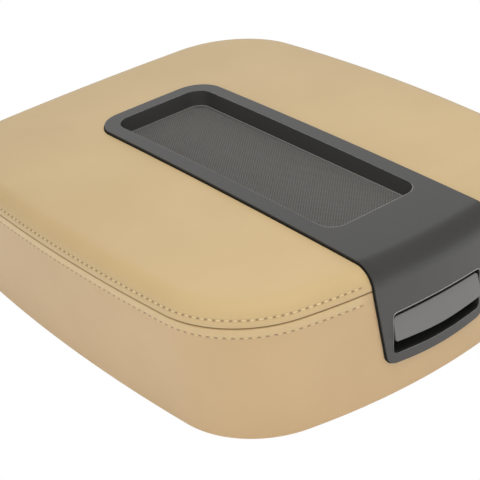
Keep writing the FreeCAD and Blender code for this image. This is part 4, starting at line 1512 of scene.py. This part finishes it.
    def topstitching(self) -> bpy.types.Object:
        """Sew both stitch rows.

        Returns:
            The thread of both rows.
        """
        piece = self.stitch_points()
        values = {"Stitch Length": self.step * self.stitch_share * MM, "Thread Radius": self.thread * MM,
                  "Arch": self.arch * MM, "Material": THREAD.material()}
        grow(piece, self.stitch_tree(), values)
        return piece

    def build(self) -> list[bpy.types.Object]:
        """Draw the two panels and sew them."""
        self.pieces = [self.top_panel(), self.side_band(), self.topstitching()]
        return self.pieces

    def dress(self) -> None:
        """Give the panels and the thread their finishes."""
        top, band, thread = self.pieces
        for piece in (top, band):
            soften(piece, 60.0)
        enrol(top, TOP_LEATHER, Body.LID, Slot.LEATHER, "leather_top_panel")
        enrol(band, BAND_LEATHER_SHADED, Body.LID, Slot.LEATHER, "leather_side_band")
        enrol(thread, THREAD, Body.LID, Slot.LEATHER)


def grow(piece: bpy.types.Object, tree: bpy.types.NodeTree, values: dict[str, object]) -> None:
    """Run geometry nodes on a piece and keep the result as a plain mesh.

    Args:
        piece: The object that feeds the tree.
        tree: The geometry node tree.
        values: Its inputs by name.
    """
    modifier = piece.modifiers.new(tree.name, "NODES")
    modifier.node_group = tree
    for item in tree.interface.items_tree:
        if item.item_type == "SOCKET" and item.in_out == "INPUT" and item.name in values:
            modifier[item.identifier] = values[item.name]
    piece.update_tag()
    freeze(piece)


@dataclass
class TrayBezel:
    """The moulded frame: rim, tray well, roll-over, apron and latch pocket.

    Attributes:
        divide: Where the deck's grid passes from the well's frame to the pocket's frame.
        wall: Thickness of the moulding.
        edge: Radius of its edges.
        spread: How far the points at the dividing line's ends reach to both sides.
        gap_shade_line: How far the black sheet of painted gap shade shows past the moulding's edge.
        gap_shade_clearance: Gap between that sheet and the moulding's underside.
        gap_shade_sink: How far that sheet goes into the leather.
        pocket_highlight_bead: First and last share across the apron and height of the pocket's bead, a fine
            ridge painted light grey as a highlight.
        well_highlight_bead: The same across the rim, for the well's bead, also painted light grey as a
            highlight.
        bead_round: Height of each bead's rounded shoulders.
        bead_root: How far each bead goes down.
        steps: Points of each corner of the well and of the rim.
        sides: Points of their front, right, rear and left side.
        apron_steps: Points of each corner of the pocket and of the apron.
        apron_sides: Points of the side after each of those corners.
        divider: How far the points that divide the pocket's sides reach to both sides.
        pieces: What was built.
    """

    divide: float = -16.0
    wall: float = 1.5
    edge: float = 1.0
    spread: float = 12.0
    gap_shade_line: float = 0.7
    gap_shade_clearance: float = 0.02
    gap_shade_sink: float = 0.1
    pocket_highlight_bead: tuple[float, float, float] = (0.010, 0.016, 0.25)
    well_highlight_bead: tuple[float, float, float] = (0.014, 0.022, 0.06)
    bead_round: float = 0.15
    bead_root: float = 0.85
    steps: int = 16
    sides: tuple[int, ...] = (24, 50, 16, 50)
    apron_steps: tuple[int, ...] = (16, 16, 12, 12, 16, 12, 12)
    apron_sides: tuple[int, ...] = (24, 10, 12, 12, 12, 12, 10)
    divider: float = 4.0
    pieces: list[bpy.types.Object] = field(init=False, default_factory=list)

    def deck_corners(self) -> tuple[float, float]:
        """Half width and place along Y of the dividing line's ends.

        Returns:
            The half width and the place.
        """
        y = float(FORM.deck_y(np.zeros(1), self.divide)[0])
        half = BEZEL.half_at(y)
        return half, float(FORM.deck_y(np.array([half]), self.divide)[0])

    def well_frame(self, grow: float) -> tuple[np.ndarray, np.ndarray]:
        """Matching outlines of the well's mouth and of the rim, grown outwards, in plan.

        Args:
            grow: How far the rim is grown.

        Returns:
            The mouth and the rim, as rows of x and y.
        """
        half, deck_y = self.deck_corners()
        b, near = BEZEL, half + grow
        far, rear, radius = b.rear_half + grow, b.rear_y + grow, b.rear_radius + grow
        mouth = b.well_outline(0.0, self.steps, self.sides)
        rim = matched(((-near, deck_y, 0.0, self.spread), (near, deck_y, 0.0, self.spread),
                       (far, rear, radius), (-far, rear, radius)), (self.steps,) * 4, self.sides)
        level = np.abs(rim[:, 1] - deck_y) < LEVEL
        rim[level, 1] = FORM.deck_y(rim[level, 0], self.divide)
        return mouth, rim

    def apron_frame(self, grow: float) -> tuple[np.ndarray, np.ndarray]:
        """Matching outlines of the pocket's mouth and of the apron, grown, as x and distance down.

        Args:
            grow: How far the apron is grown.

        Returns:
            The mouth and the apron.
        """
        half = self.deck_corners()[0] + grow
        b, down = BEZEL, FORM.apron_down
        wide, bend = b.pocket_half, b.pocket_radius
        top, mid, side, low = (down(z) for z in (b.pocket_top, b.pocket_mid, b.pocket_side, b.pocket_low))
        mouth = matched(((-wide, top, bend), (wide, top, bend), (wide, mid, 0.0, self.divider),
                         (wide, side, bend), (0.0, low, b.pocket_low_radius), (-wide, side, bend),
                         (-wide, mid, 0.0, self.divider)), self.apron_steps, self.apron_sides)
        kink, kink_down = b.half_at(-FORM.length / 2) + grow, down(b.kink_z)
        wide, side, bend = b.apron_half + grow, down(b.apron_side_z) + grow, b.apron_radius + grow
        apron = matched(((-half, self.divide, 0.0, self.spread), (half, self.divide, 0.0, self.spread),
                         (kink, kink_down, b.kink_radius), (wide, side, bend),
                         (0.0, down(b.apron_low_z) + grow, b.apron_low_radius), (-wide, side, bend),
                         (-kink, kink_down, b.kink_radius)), self.apron_steps, self.apron_sides)
        return mouth, apron

    def rim_rings(self, offset: float, shares: Sequence[float], grow: float = 0.0) -> list[np.ndarray]:
        """Rings from the well's mouth to the rim, at a distance off the leather.

        Args:
            offset: Distance outwards from the leather.
            shares: How far each ring is on the way.
            grow: How far the outer edge is grown.

        Returns:
            Rows of x, y and z for each ring.
        """
        mouth, rim = self.well_frame(grow)
        plans = [mouth + (rim - mouth) * share for share in shares]
        return [FORM.on_crown(plan[:, 0], plan[:, 1], offset) for plan in plans]

    def apron_rings(self, offset: float, shares: Sequence[float], grow: float = 0.0) -> list[np.ndarray]:
        """Rings from the pocket's mouth to the apron's edge, at a distance off the leather.

        Args:
            offset: Distance outwards from the leather.
            shares: How far each ring is on the way.
            grow: How far the outer edge is grown.

        Returns:
            Rows of x, y and z for each ring.
        """
        mouth, apron = self.apron_frame(grow)
        flats = [mouth + (apron - mouth) * share for share in shares]
        return [FORM.front(flat[:, 0], flat[:, 1], offset) for flat in flats]

    def draw(self) -> MeshDraft:
        """Draw the outer face as one sheet.

        Returns:
            The sheet.
        """
        draft = MeshDraft()
        rings = self.rim_rings(BEZEL.proud, (0.0, 0.06, 0.16, 0.32, 0.5, 0.68, 0.84, 0.94, 1.0))
        well_top = draft.loft(rings[::-1])[-1]
        self.add_well(draft, well_top, rings[0])
        rings = self.apron_rings(BEZEL.proud, np.linspace(0.0, 1.0, 29))
        pocket_top = draft.loft(rings)[0]
        self.add_pocket(draft, pocket_top, rings[0])
        return draft

    def gap_shade(self) -> bpy.types.Object:
        """Draw a black sheet of painted shade that fills the gap between the moulding's edge and the leather.

        Returns:
            The sheet of painted gap shade.
        """
        draft = MeshDraft()
        under = BEZEL.proud - self.wall - self.gap_shade_clearance
        draft.loft(self.rim_rings(under, np.linspace(0.5, 1.0, 4), self.gap_shade_line)[::-1])
        draft.loft(self.apron_rings(under, np.linspace(0.5, 1.0, 9), self.gap_shade_line))
        piece = draft.build("bezel_gap_shade")
        thicken(piece, UP, under + self.gap_shade_sink)
        freeze(piece)
        return piece

    def highlight_beads(self) -> bpy.types.Object:
        """Draw the fine ridges that edge the mouths of the pocket and of the well and carry a painted
        highlight.

        Returns:
            Both ridges as one piece.
        """
        draft = MeshDraft()
        edges = ((self.apron_rings, *self.pocket_highlight_bead), (self.rim_rings, *self.well_highlight_bead))
        for rings, near, far, top in edges:
            ease, shoulder, root = (far - near) / 5, top - self.bead_round, top - self.bead_root
            profile = ((near, root), (near, shoulder), (near + ease, top), (far - ease, top),
                       (far, shoulder), (far, root))
            numbers = draft.loft([rings(BEZEL.proud + lift, (share,))[0] for share, lift in profile])
            draft.strip(numbers[-1], numbers[0])
        return draft.build("bezel_highlight_beads")

    def add_well(self, draft: MeshDraft, top: list[int], places: np.ndarray) -> None:
        """Draw the tray's drafted walls and floor.

        Args:
            draft: The sheet.
            top: Vertices of the well's mouth.
            places: Their places.
        """
        b = BEZEL
        floor = b.well_outline(b.well_draft, self.steps, self.sides)
        low = np.column_stack([floor, np.full(len(floor), b.well_floor)])
        rings = [places + (low - places) * share for share in (0.12, 0.4, 0.7, 1.0)]
        numbers = draft.loft(rings)
        draft.strip(top, numbers[0])
        draft.cap(numbers[-1])

    def add_pocket(self, draft: MeshDraft, top: list[int], places: np.ndarray) -> None:
        """Draw the latch pocket's walls and its back with the window for the lever.

        Args:
            draft: The sheet.
            top: Vertices of the pocket's mouth.
            places: Their places.
        """
        deep = places.copy()
        deep[:, 1] = BEZEL.pocket_back
        rings = [places + (deep - places) * share for share in (0.1, 0.4, 0.7, 1.0)]
        middle = np.array([0.0, BEZEL.window_z])
        spread = deep[:, [0, 2]] - middle
        scale = 1.0 / (np.abs(spread) / BEZEL.window_half).max(axis=1)
        window = deep.copy()
        window[:, [0, 2]] = middle + spread * scale[:, None]
        rings += [deep + (window - deep) * share for share in (0.4, 1.0)]
        numbers = draft.loft(rings)
        draft.strip(numbers[0], top)
        draft.faces[-len(top):] = [tuple(reversed(face)) for face in draft.faces[-len(top):]]

    def build(self) -> list[bpy.types.Object]:
        """Draw the sheet, thicken it and round its edges.

        Returns:
            The moulding, its sheet of painted gap shade and its light ridges of painted highlight.
        """
        piece = self.draw().build("tray_frame")
        thicken(piece, UP, self.wall)
        round_edges(piece, self.edge)
        freeze(piece)
        self.pieces = [piece, self.gap_shade(), self.highlight_beads()]
        return self.pieces

    def dress(self) -> None:
        """Give the moulding, its sheet of painted gap shade and its light ridges of painted highlight their
        finishes.
        """
        moulding, gap_shade, highlight_beads = self.pieces
        for piece in self.pieces:
            soften(piece, 30.0)
        enrol(moulding, BEZEL_PLASTIC, Body.LID, Slot.BEZEL, "tray_bezel")
        # Painted shade in the gap under the moulding's edge.
        enrol(gap_shade, GAP_SHADE_BLACK, Body.LID, Slot.BEZEL)
        # Painted highlight along the mouths of the pocket and of the well.
        enrol(highlight_beads, EDGE_HIGHLIGHT_PAINT, Body.LID, Slot.BEZEL)


@dataclass
class TrayMat:
    """The rubber mat with its crossed diagonal ribs.

    Attributes:
        gap: Gap to the well's walls.
        base: Thickness under the ribs.
        pitch: Distance between ribs.
        border: Plain border round the ribs.
        rib: Radius of the ribs.
        corner_share: Size of the cut corners as a share of the well's radius.
        lip: Insets and heights of the lip's profile.
        lip_foot: Inset of the lip's inner foot.
        pieces: What was built.
    """

    gap: float = 1.9
    base: float = 1.1
    pitch: float = 1.75
    border: float = 2.2
    rib: float = 0.32
    corner_share: float = 0.62
    lip: tuple[tuple[float, float], ...] = ((0.0, 0.05), (0.0, 1.3), (0.25, 1.5), (0.9, 1.5))
    lip_foot: float = 1.3
    pieces: list[bpy.types.Object] = field(init=False, default_factory=list)

    def plate(self) -> bpy.types.Object:
        """Draw the mat's plate with a raised lip round it.

        Returns:
            The plate.
        """
        b = BEZEL
        draft = MeshDraft()
        rings = []
        for inset, height in (*self.lip, (self.lip_foot, self.base)):
            plan = b.well_outline(self.gap + inset, 12, (4, 4, 4, 4))
            rings.append(np.column_stack([plan, np.full(len(plan), b.well_floor + height)]))
        numbers = draft.loft(rings)
        draft.cap(numbers[0], flip=True)
        draft.cap(numbers[-1])
        return draft.build("mat_plate")

    def rib_tree(self) -> bpy.types.NodeTree:
        """Geometry nodes that cross two sets of diagonal ribs, clipped to the mat.

        Returns:
            The tree.
        """
        lengths = ("Pitch", "Half Width", "Half Length", "Corner", "Rib Radius")
        sizes = {"Count": "Int", **dict.fromkeys(lengths, "Float"), "Centre": "Vector"}
        nodes, start = geometry_tree("mat_ribs", sizes)
        links = nodes.tree.links
        joined = nodes.add("GeometryNodeJoinGeometry")
        for slant in (1.0, -1.0):
            links.new(self.rib_set(nodes, start, slant), joined.inputs[0])
        links.new(start["Geometry"], joined.inputs[0])
        moved = nodes.add("GeometryNodeRealizeInstances", Geometry=joined.outputs[0])
        dressed = nodes.add("GeometryNodeSetMaterial", Geometry=moved.outputs[0], Material=start["Material"])
        nodes.add("NodeGroupOutput", Geometry=dressed.outputs["Geometry"])
        return nodes.tree

    def rib_set(self, nodes: Nodes, start: bpy.types.bpy_prop_collection,
                slant: float) -> bpy.types.NodeSocket:
        """Lay one set of parallel ribs, clipped to a rectangle with cut corners.

        Args:
            nodes: Adder on the tree.
            start: Outputs of the tree's input node.
            slant: 1 or -1, the way the ribs lean.

        Returns:
            The ribs' instances.
        """
        line = nodes.add("GeometryNodeMeshLine", {"mode": "OFFSET"}, Count=start["Count"])
        number = nodes.add("GeometryNodeInputIndex").outputs[0]
        steps = nodes.math("SUBTRACT", number, nodes.math("MULTIPLY", start["Count"], 0.5))
        cross = nodes.math("MULTIPLY", nodes.math("MULTIPLY", steps, start["Pitch"]), math.sqrt(2.0))
        wide, long = start["Half Width"], start["Half Length"]
        tip = nodes.math("SUBTRACT", nodes.math("ADD", wide, long), start["Corner"])
        ends = []
        for sign, choice in ((-1.0, "MAXIMUM"), (1.0, "MINIMUM")):
            at_side = nodes.math("MULTIPLY", wide, sign)
            at_end = nodes.math("SUBTRACT", nodes.math("MULTIPLY", long, sign), cross)
            from_tip = nodes.math("SUBTRACT", nodes.math("MULTIPLY", tip, sign), cross)
            at_tip = nodes.math("MULTIPLY", from_tip, 0.5)
            ends.append(nodes.math(choice, nodes.math(choice, at_side, at_end), at_tip))
        run = nodes.math("MULTIPLY", nodes.math("SUBTRACT", ends[1], ends[0]), math.sqrt(2.0))
        within = nodes.math("LESS_THAN", nodes.math("ABSOLUTE", cross, 0.0), tip)
        middle = nodes.math("MULTIPLY", nodes.math("ADD", ends[0], ends[1]), 0.5)
        across = nodes.math("MULTIPLY", nodes.math("ADD", middle, cross), slant)
        place = nodes.add("ShaderNodeCombineXYZ", X=middle, Y=across)
        moved = nodes.add("ShaderNodeVectorMath", {"operation": "ADD"})
        nodes.feed(moved, 0, place.outputs[0])
        nodes.feed(moved, 1, start["Centre"])
        inside = nodes.math("MULTIPLY", run, within)
        noted = nodes.add("GeometryNodeStoreNamedAttribute", {"data_type": "FLOAT", "domain": "POINT"},
                          Geometry=line.outputs["Mesh"], Name="run", Value=inside)
        placed = nodes.add("GeometryNodeSetPosition", Geometry=noted.outputs["Geometry"],
                           Position=moved.outputs[0])
        kept_run = nodes.add("GeometryNodeInputNamedAttribute", {"data_type": "FLOAT"}, Name="run").outputs[0]
        short = nodes.math("LESS_THAN", kept_run, start["Pitch"])
        kept = nodes.add("GeometryNodeDeleteGeometry", {"domain": "POINT"},
                         Geometry=placed.outputs["Geometry"], Selection=short)
        axis = nodes.add("GeometryNodeCurvePrimitiveLine", Start=(-0.5, 0.0, 0.0), End=(0.5, 0.0, 0.0))
        ring = nodes.add("GeometryNodeCurvePrimitiveCircle", Resolution=6, Radius=start["Rib Radius"])
        bar = nodes.add("GeometryNodeCurveToMesh", Curve=axis.outputs["Curve"],
                        Profile_Curve=ring.outputs["Curve"], Fill_Caps=True)
        size = nodes.add("ShaderNodeCombineXYZ", X=kept_run, Y=1.0, Z=1.0)
        laid = nodes.add("GeometryNodeInstanceOnPoints", Points=kept.outputs["Geometry"],
                         Instance=bar.outputs["Mesh"], Rotation=(0.0, 0.0, slant * math.pi / 4),
                         Scale=size.outputs[0])
        return laid.outputs["Instances"]

    def build(self) -> list[bpy.types.Object]:
        """Draw the plate and lay the ribs on it.

        Returns:
            The mat.
        """
        b = BEZEL
        piece = self.plate()
        inset = self.gap + self.border
        half_width = b.well_half - inset
        half_length = (b.well_rear - b.well_front) / 2 - inset
        centre = np.array([0.0, (b.well_rear + b.well_front) / 2, b.well_floor + self.base]) * MM + LID_MIDDLE
        values = {
            "Count": 2 * math.ceil((half_width + half_length) / (self.pitch * math.sqrt(2.0))),
            "Pitch": self.pitch * MM, "Half Width": half_width * MM, "Half Length": half_length * MM,
            "Corner": self.corner_share * b.well_radius * MM, "Rib Radius": self.rib * MM,
            "Centre": Vector(centre), "Material": MAT_RUBBER.material(),
        }
        grow(piece, self.rib_tree(), values)
        piece.name = "tray_mat_ribbed"
        self.pieces = [piece]
        return self.pieces

    def dress(self) -> None:
        """Give the mat its finish."""
        soften(self.pieces[0], 40.0)
        enrol(self.pieces[0], MAT_RUBBER, Body.LID, Slot.MAT, "tray_mat")


@dataclass
class LatchHandle:
    """The pull paddle with its lugs and the lever that works the hook.

    Attributes:
        half: Half of the paddle's width.
        top: Height of its top edge.
        side: Height of its low corners.
        low: Height of its bowed lower edge.
        low_radius: Radius of that edge.
        corner: Radius of its upper corners.
        low_corner: Radius of its lower corners.
        recess: How far the top edge stands back from the bezel's face.
        lip: How far the lower edge stands out.
        thickness: Thickness of the paddle.
        edge: Radius of its edges.
        pivot: Place of the pin along Y and Z.
        lug_radius: Radius of the lugs on the pin.
        lug_span: Inner and outer end of a lug along X.
        lever_half: Half of the lever's width.
        lever_roots: Lower and upper height of the lever at the paddle.
        lever_tip: Corners of the lever's free end along Y and Z.
        pieces: What was built.
    """

    half: float = 37.5
    top: float = 61.4
    side: float = 44.6
    low: float = 42.2
    low_radius: float = 240.0
    corner: float = 3.0
    low_corner: float = 1.0
    recess: float = 1.3
    lip: float = 3.0
    thickness: float = 2.4
    edge: float = 0.8
    pivot: tuple[float, float] = (-188.8, 59.2)
    lug_radius: float = 3.4
    lug_span: tuple[float, float] = (22.4, 28.4)
    lever_half: float = 4.0
    lever_roots: tuple[float, float] = (46.2, 59.2)
    lever_tip: tuple[tuple[float, float], ...] = (
        (-180.0, 53.7), (-175.0, 53.7), (-174.0, 54.7), (-174.0, 56.7), (-175.0, 57.7))
    pieces: list[bpy.types.Object] = field(init=False, default_factory=list)

    def face_y(self, height: np.ndarray) -> np.ndarray:
        """Where the paddle's face stands on the middle plane.

        Args:
            height: Heights on the paddle.

        Returns:
            The place along Y at each height.
        """
        share = (self.top - height) / (self.top - self.low)
        walls = [FORM.draft * (1 - z / FORM.shoulder) - FORM.length / 2 for z in (self.top, self.low)]
        high, low = (wall - BEZEL.proud for wall in walls)
        return high + self.recess + (low - self.lip - high - self.recess) * share

    def paddle(self) -> bpy.types.Object:
        """Draw the bowed paddle with rounded edges.

        Returns:
            The paddle.
        """
        edge = outline([
            Corner(-self.half, self.top, self.corner, steps=8, side=40),
            Corner(self.half, self.top, self.corner, steps=8, side=14),
            Corner(self.half, self.side, self.low_corner, steps=8, side=14),
            Corner(0.0, self.low, self.low_radius, steps=16, side=14),
            Corner(-self.half, self.side, self.low_corner, steps=8, side=14)])
        middle = np.array([0.0, (self.top + self.side) / 2])
        draft = MeshDraft()
        rings = []
        for share in (1.0, 0.97, 0.9, 0.75, 0.55, 0.35, 0.15):
            flat = middle + (edge - middle) * share
            turned = FORM.front_centre - self.face_y(flat[:, 1])
            y = FORM.front_centre - np.sqrt(turned ** 2 - flat[:, 0] ** 2)
            rings.append(np.column_stack([flat[:, 0], y, flat[:, 1]]))
        draft.cap(draft.loft(rings)[-1])
        piece = draft.build("pull_paddle")
        thicken(piece, FORWARD, self.thickness, even=False)
        round_edges(piece, self.edge)
        freeze(piece)
        return piece

    def works(self) -> bpy.types.Object:
        """Draw the lugs on the pivot and the lever.

        Returns:
            The lugs and the lever as one piece.
        """
        draft = MeshDraft()
        turns = np.linspace(0, 2 * math.pi, 24, endpoint=False)
        disc = self.pivot + self.lug_radius * np.column_stack([np.cos(turns), np.sin(turns)])
        near, far = self.lug_span
        draft.prism(disc, Axis.X, near, far)
        draft.prism(disc, Axis.X, -far, -near)
        low, high = self.lever_roots
        low_y, high_y = self.face_y(np.array(self.lever_roots)) + self.thickness / 2
        lever = np.array([(low_y, low), *self.lever_tip, (high_y, high)])
        draft.prism(lever, Axis.X, -self.lever_half, self.lever_half)
        return draft.build("pull_works")

    def build(self) -> list[bpy.types.Object]:
        """Draw the paddle and join its lugs and lever to it.

        Returns:
            The handle.
        """
        piece, works = self.paddle(), self.works()
        with bpy.context.temp_override(active_object=piece, selected_editable_objects=[piece, works]):
            bpy.ops.object.join()
        self.pieces = [piece]
        return self.pieces

    def dress(self) -> None:
        """Give the handle its finish."""
        soften(self.pieces[0], 30.0)
        enrol(self.pieces[0], HANDLE_PLASTIC, Body.HANDLE, Slot.HANDLE, "latch_handle")


@dataclass(frozen=True)
class Hardware:
    """The solids that are shown as they are.

    Attributes:
        finishes: Name of each node and its finish.
    """

    finishes: tuple[tuple[str, Finish], ...] = (
        ("foam_pad", FOAM), ("lid_shell", SHELL_PLASTIC), ("inner_liner", LINER_PLASTIC),
        ("bezel_screws", PLATED_STEEL), ("liner_screws", PLATED_STEEL), ("hinge_screws", PLATED_STEEL),
        ("bump_stops", STOP_RUBBER), ("handle_pin", PLATED_STEEL), ("hook_pin", PLATED_STEEL),
        ("latch_spring", PLATED_STEEL), ("latch_hook", HOOK_PLASTIC), ("hinge_pin", PLATED_STEEL),
        ("hinge_pin_clips", PLATED_STEEL), ("hinge_base_plate", PAINTED_STEEL),
        ("hinge_lid_plate", PAINTED_STEEL),
    )

    def build(self) -> list[bpy.types.Object]:
        """Find the nodes in the frame."""
        return [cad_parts[name] for name, _ in self.finishes]

    def dress(self) -> None:
        """Give each node its finish."""
        for name, finish in self.finishes:
            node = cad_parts[name]
            node.data.materials.clear()
            node.data.materials.append(finish.material())
            log.info("%s: %s", name, finish.name)


@dataclass(frozen=True)
class Softbox:
    """A soft area light.

    Attributes:
        name: Name of the light.
        place: Its place in metres.
        aim: What it points at.
        size: Its width and height.
        power: Its power in watts.
        mirrored: Whether glossy surfaces mirror it.
    """

    name: str
    place: tuple[float, float, float]
    aim: tuple[float, float, float]
    size: tuple[float, float]
    power: float
    mirrored: bool = False

    def build(self) -> bpy.types.Object:
        """Make the light.

        Returns:
            The light.
        """
        data = bpy.data.lights.new(self.name, "AREA")
        data.shape = "RECTANGLE"
        data.size, data.size_y = self.size
        data.energy = self.power
        light = bpy.data.objects.new(self.name, data)
        light.location = self.place
        ray = Vector(self.aim) - Vector(self.place)
        light.rotation_euler = ray.to_track_quat("-Z", "Y").to_euler()
        light.visible_camera = False
        light.visible_glossy = self.mirrored
        bpy.context.scene.collection.objects.link(light)
        return light


@dataclass(frozen=True)
class Studio:
    """White sweep, soft light and the photograph's camera.

    Attributes:
        eye: Place of the camera in metres.
        azimuth: Its bearing in degrees.
        elevation: How far it looks down, in degrees.
        roll: Its tilt in degrees.
        lens: Its focal length in millimetres.
        sensor: Width of its sensor in millimetres.
        sight: How far it sees, in metres.
        ambient: Strength of the room's even light.
        table_glow: Strength of the floor's own light.
        sweep: Half of the floor's width in metres.
        pale: Colour of the floor.
        lights: The soft lights.
    """

    eye: tuple[float, float, float] = (-0.57138, -0.95838, 0.58152)
    azimuth: float = -35.0245
    elevation: float = 29.3829
    roll: float = -6.5912
    lens: float = 115.413
    sensor: float = 36.0
    sight: float = 50.0
    ambient: float = 0.33
    table_glow: float = 0.36
    sweep: float = 6.0
    pale: tuple[float, ...] = (0.82, 0.82, 0.82, 1.0)
    lights: tuple[Softbox, ...] = (
        Softbox("key", (-0.15, -0.57, 1.08), (0.0, -0.2, 0.06), (0.8, 0.7), 8.2),
        Softbox("top_glow", (0.05, -0.22, 0.65), (0.05, -0.22, 0.1), (0.25, 0.25), 0.45),
        Softbox("rear_panel", (0.85, 0.95, 0.72), (0.0, -0.15, 0.08), (1.5, 1.3), 5.0, mirrored=True),
        Softbox("left_fill", (-1.5, -0.45, 0.5), (-0.1, -0.15, 0.05), (0.9, 0.6), 5.5),
        Softbox("front_fill", (0.35, -0.95, 0.15), (0.08, -0.34, 0.04), (0.5, 0.3), 1.1),
    )

    def camera(self) -> None:
        """Set the camera as the photograph was taken."""
        turn, rise, tilt = (math.radians(a) for a in (self.azimuth, self.elevation, self.roll))
        back = Vector((math.sin(turn) * math.cos(rise), -math.cos(turn) * math.cos(rise), math.sin(rise)))
        right = Vector((math.cos(turn), math.sin(turn), 0.0))
        up = back.cross(right)
        across = right * math.cos(tilt) + up * math.sin(tilt)
        above = up * math.cos(tilt) - right * math.sin(tilt)
        data = bpy.data.cameras.new("camera")
        data.lens = self.lens
        data.sensor_width = self.sensor
        data.clip_end = self.sight
        camera = bpy.data.objects.new("camera", data)
        axes = Matrix((across, above, back)).transposed().to_4x4()
        camera.matrix_world = Matrix.Translation(Vector(self.eye)) @ axes
        bpy.context.scene.collection.objects.link(camera)
        bpy.context.scene.camera = camera

    def floor(self) -> None:
        """Lay the pale floor, plain white to the camera."""
        mesh = bpy.data.meshes.new("floor")
        far, low = self.sweep, float(CAD_LOW.z) - MM
        mesh.from_pydata([(-far, -far, low), (far, -far, low), (far, far, low), (-far, far, low)], [],
                         [(0, 1, 2, 3)])
        floor = bpy.data.objects.new("floor", mesh)
        bpy.context.scene.collection.objects.link(floor)
        material = bpy.data.materials.new("floor")
        material.use_nodes = True
        material.node_tree.nodes.clear()
        nodes = Nodes(material.node_tree)
        pale = nodes.add("ShaderNodeBsdfDiffuse", Color=self.pale)
        glow = nodes.add("ShaderNodeEmission", Color=WHITE, Strength=self.table_glow)
        table = nodes.add("ShaderNodeAddShader")
        nodes.feed(table, 0, pale.outputs[0])
        nodes.feed(table, 1, glow.outputs[0])
        white = nodes.add("ShaderNodeEmission", Color=WHITE, Strength=1.0)
        seen = nodes.add("ShaderNodeLightPath").outputs["Is Camera Ray"]
        mix = nodes.add("ShaderNodeMixShader", Fac=seen)
        nodes.feed(mix, 1, table.outputs[0])
        nodes.feed(mix, 2, white.outputs[0])
        nodes.add("ShaderNodeOutputMaterial", Surface=mix.outputs[0])
        mesh.materials.append(material)

    def world(self) -> None:
        """Fill the room with even light, plain white to the camera."""
        world = bpy.data.worlds.new("studio")
        world.use_nodes = True
        world.node_tree.nodes.clear()
        nodes = Nodes(world.node_tree)
        seen = nodes.add("ShaderNodeLightPath").outputs["Is Camera Ray"]
        level = nodes.add("ShaderNodeMapRange", Value=seen, To_Min=self.ambient, To_Max=1.0)
        light = nodes.add("ShaderNodeBackground", Color=WHITE, Strength=level.outputs["Result"])
        nodes.add("ShaderNodeOutputWorld", Surface=light.outputs[0])
        bpy.context.scene.world = world

    def build(self) -> None:
        """Set up camera, floor, room and lights."""
        self.camera()
        self.floor()
        self.world()
        for light in self.lights:
            light.build()
        bpy.context.scene.view_settings.view_transform = "Standard"


def main() -> None:
    """Build, dress and light the lid."""
    logging.basicConfig(level=logging.INFO, format="%(name)s: %(message)s")
    for group in (LeatherCover(), TrayBezel(), TrayMat(), LatchHandle(), Hardware()):
        pieces = group.build()
        group.dress()
        log.info("%s has %d pieces", type(group).__name__, len(pieces))
    Studio().build()


if __name__ == "__main__":
    main()
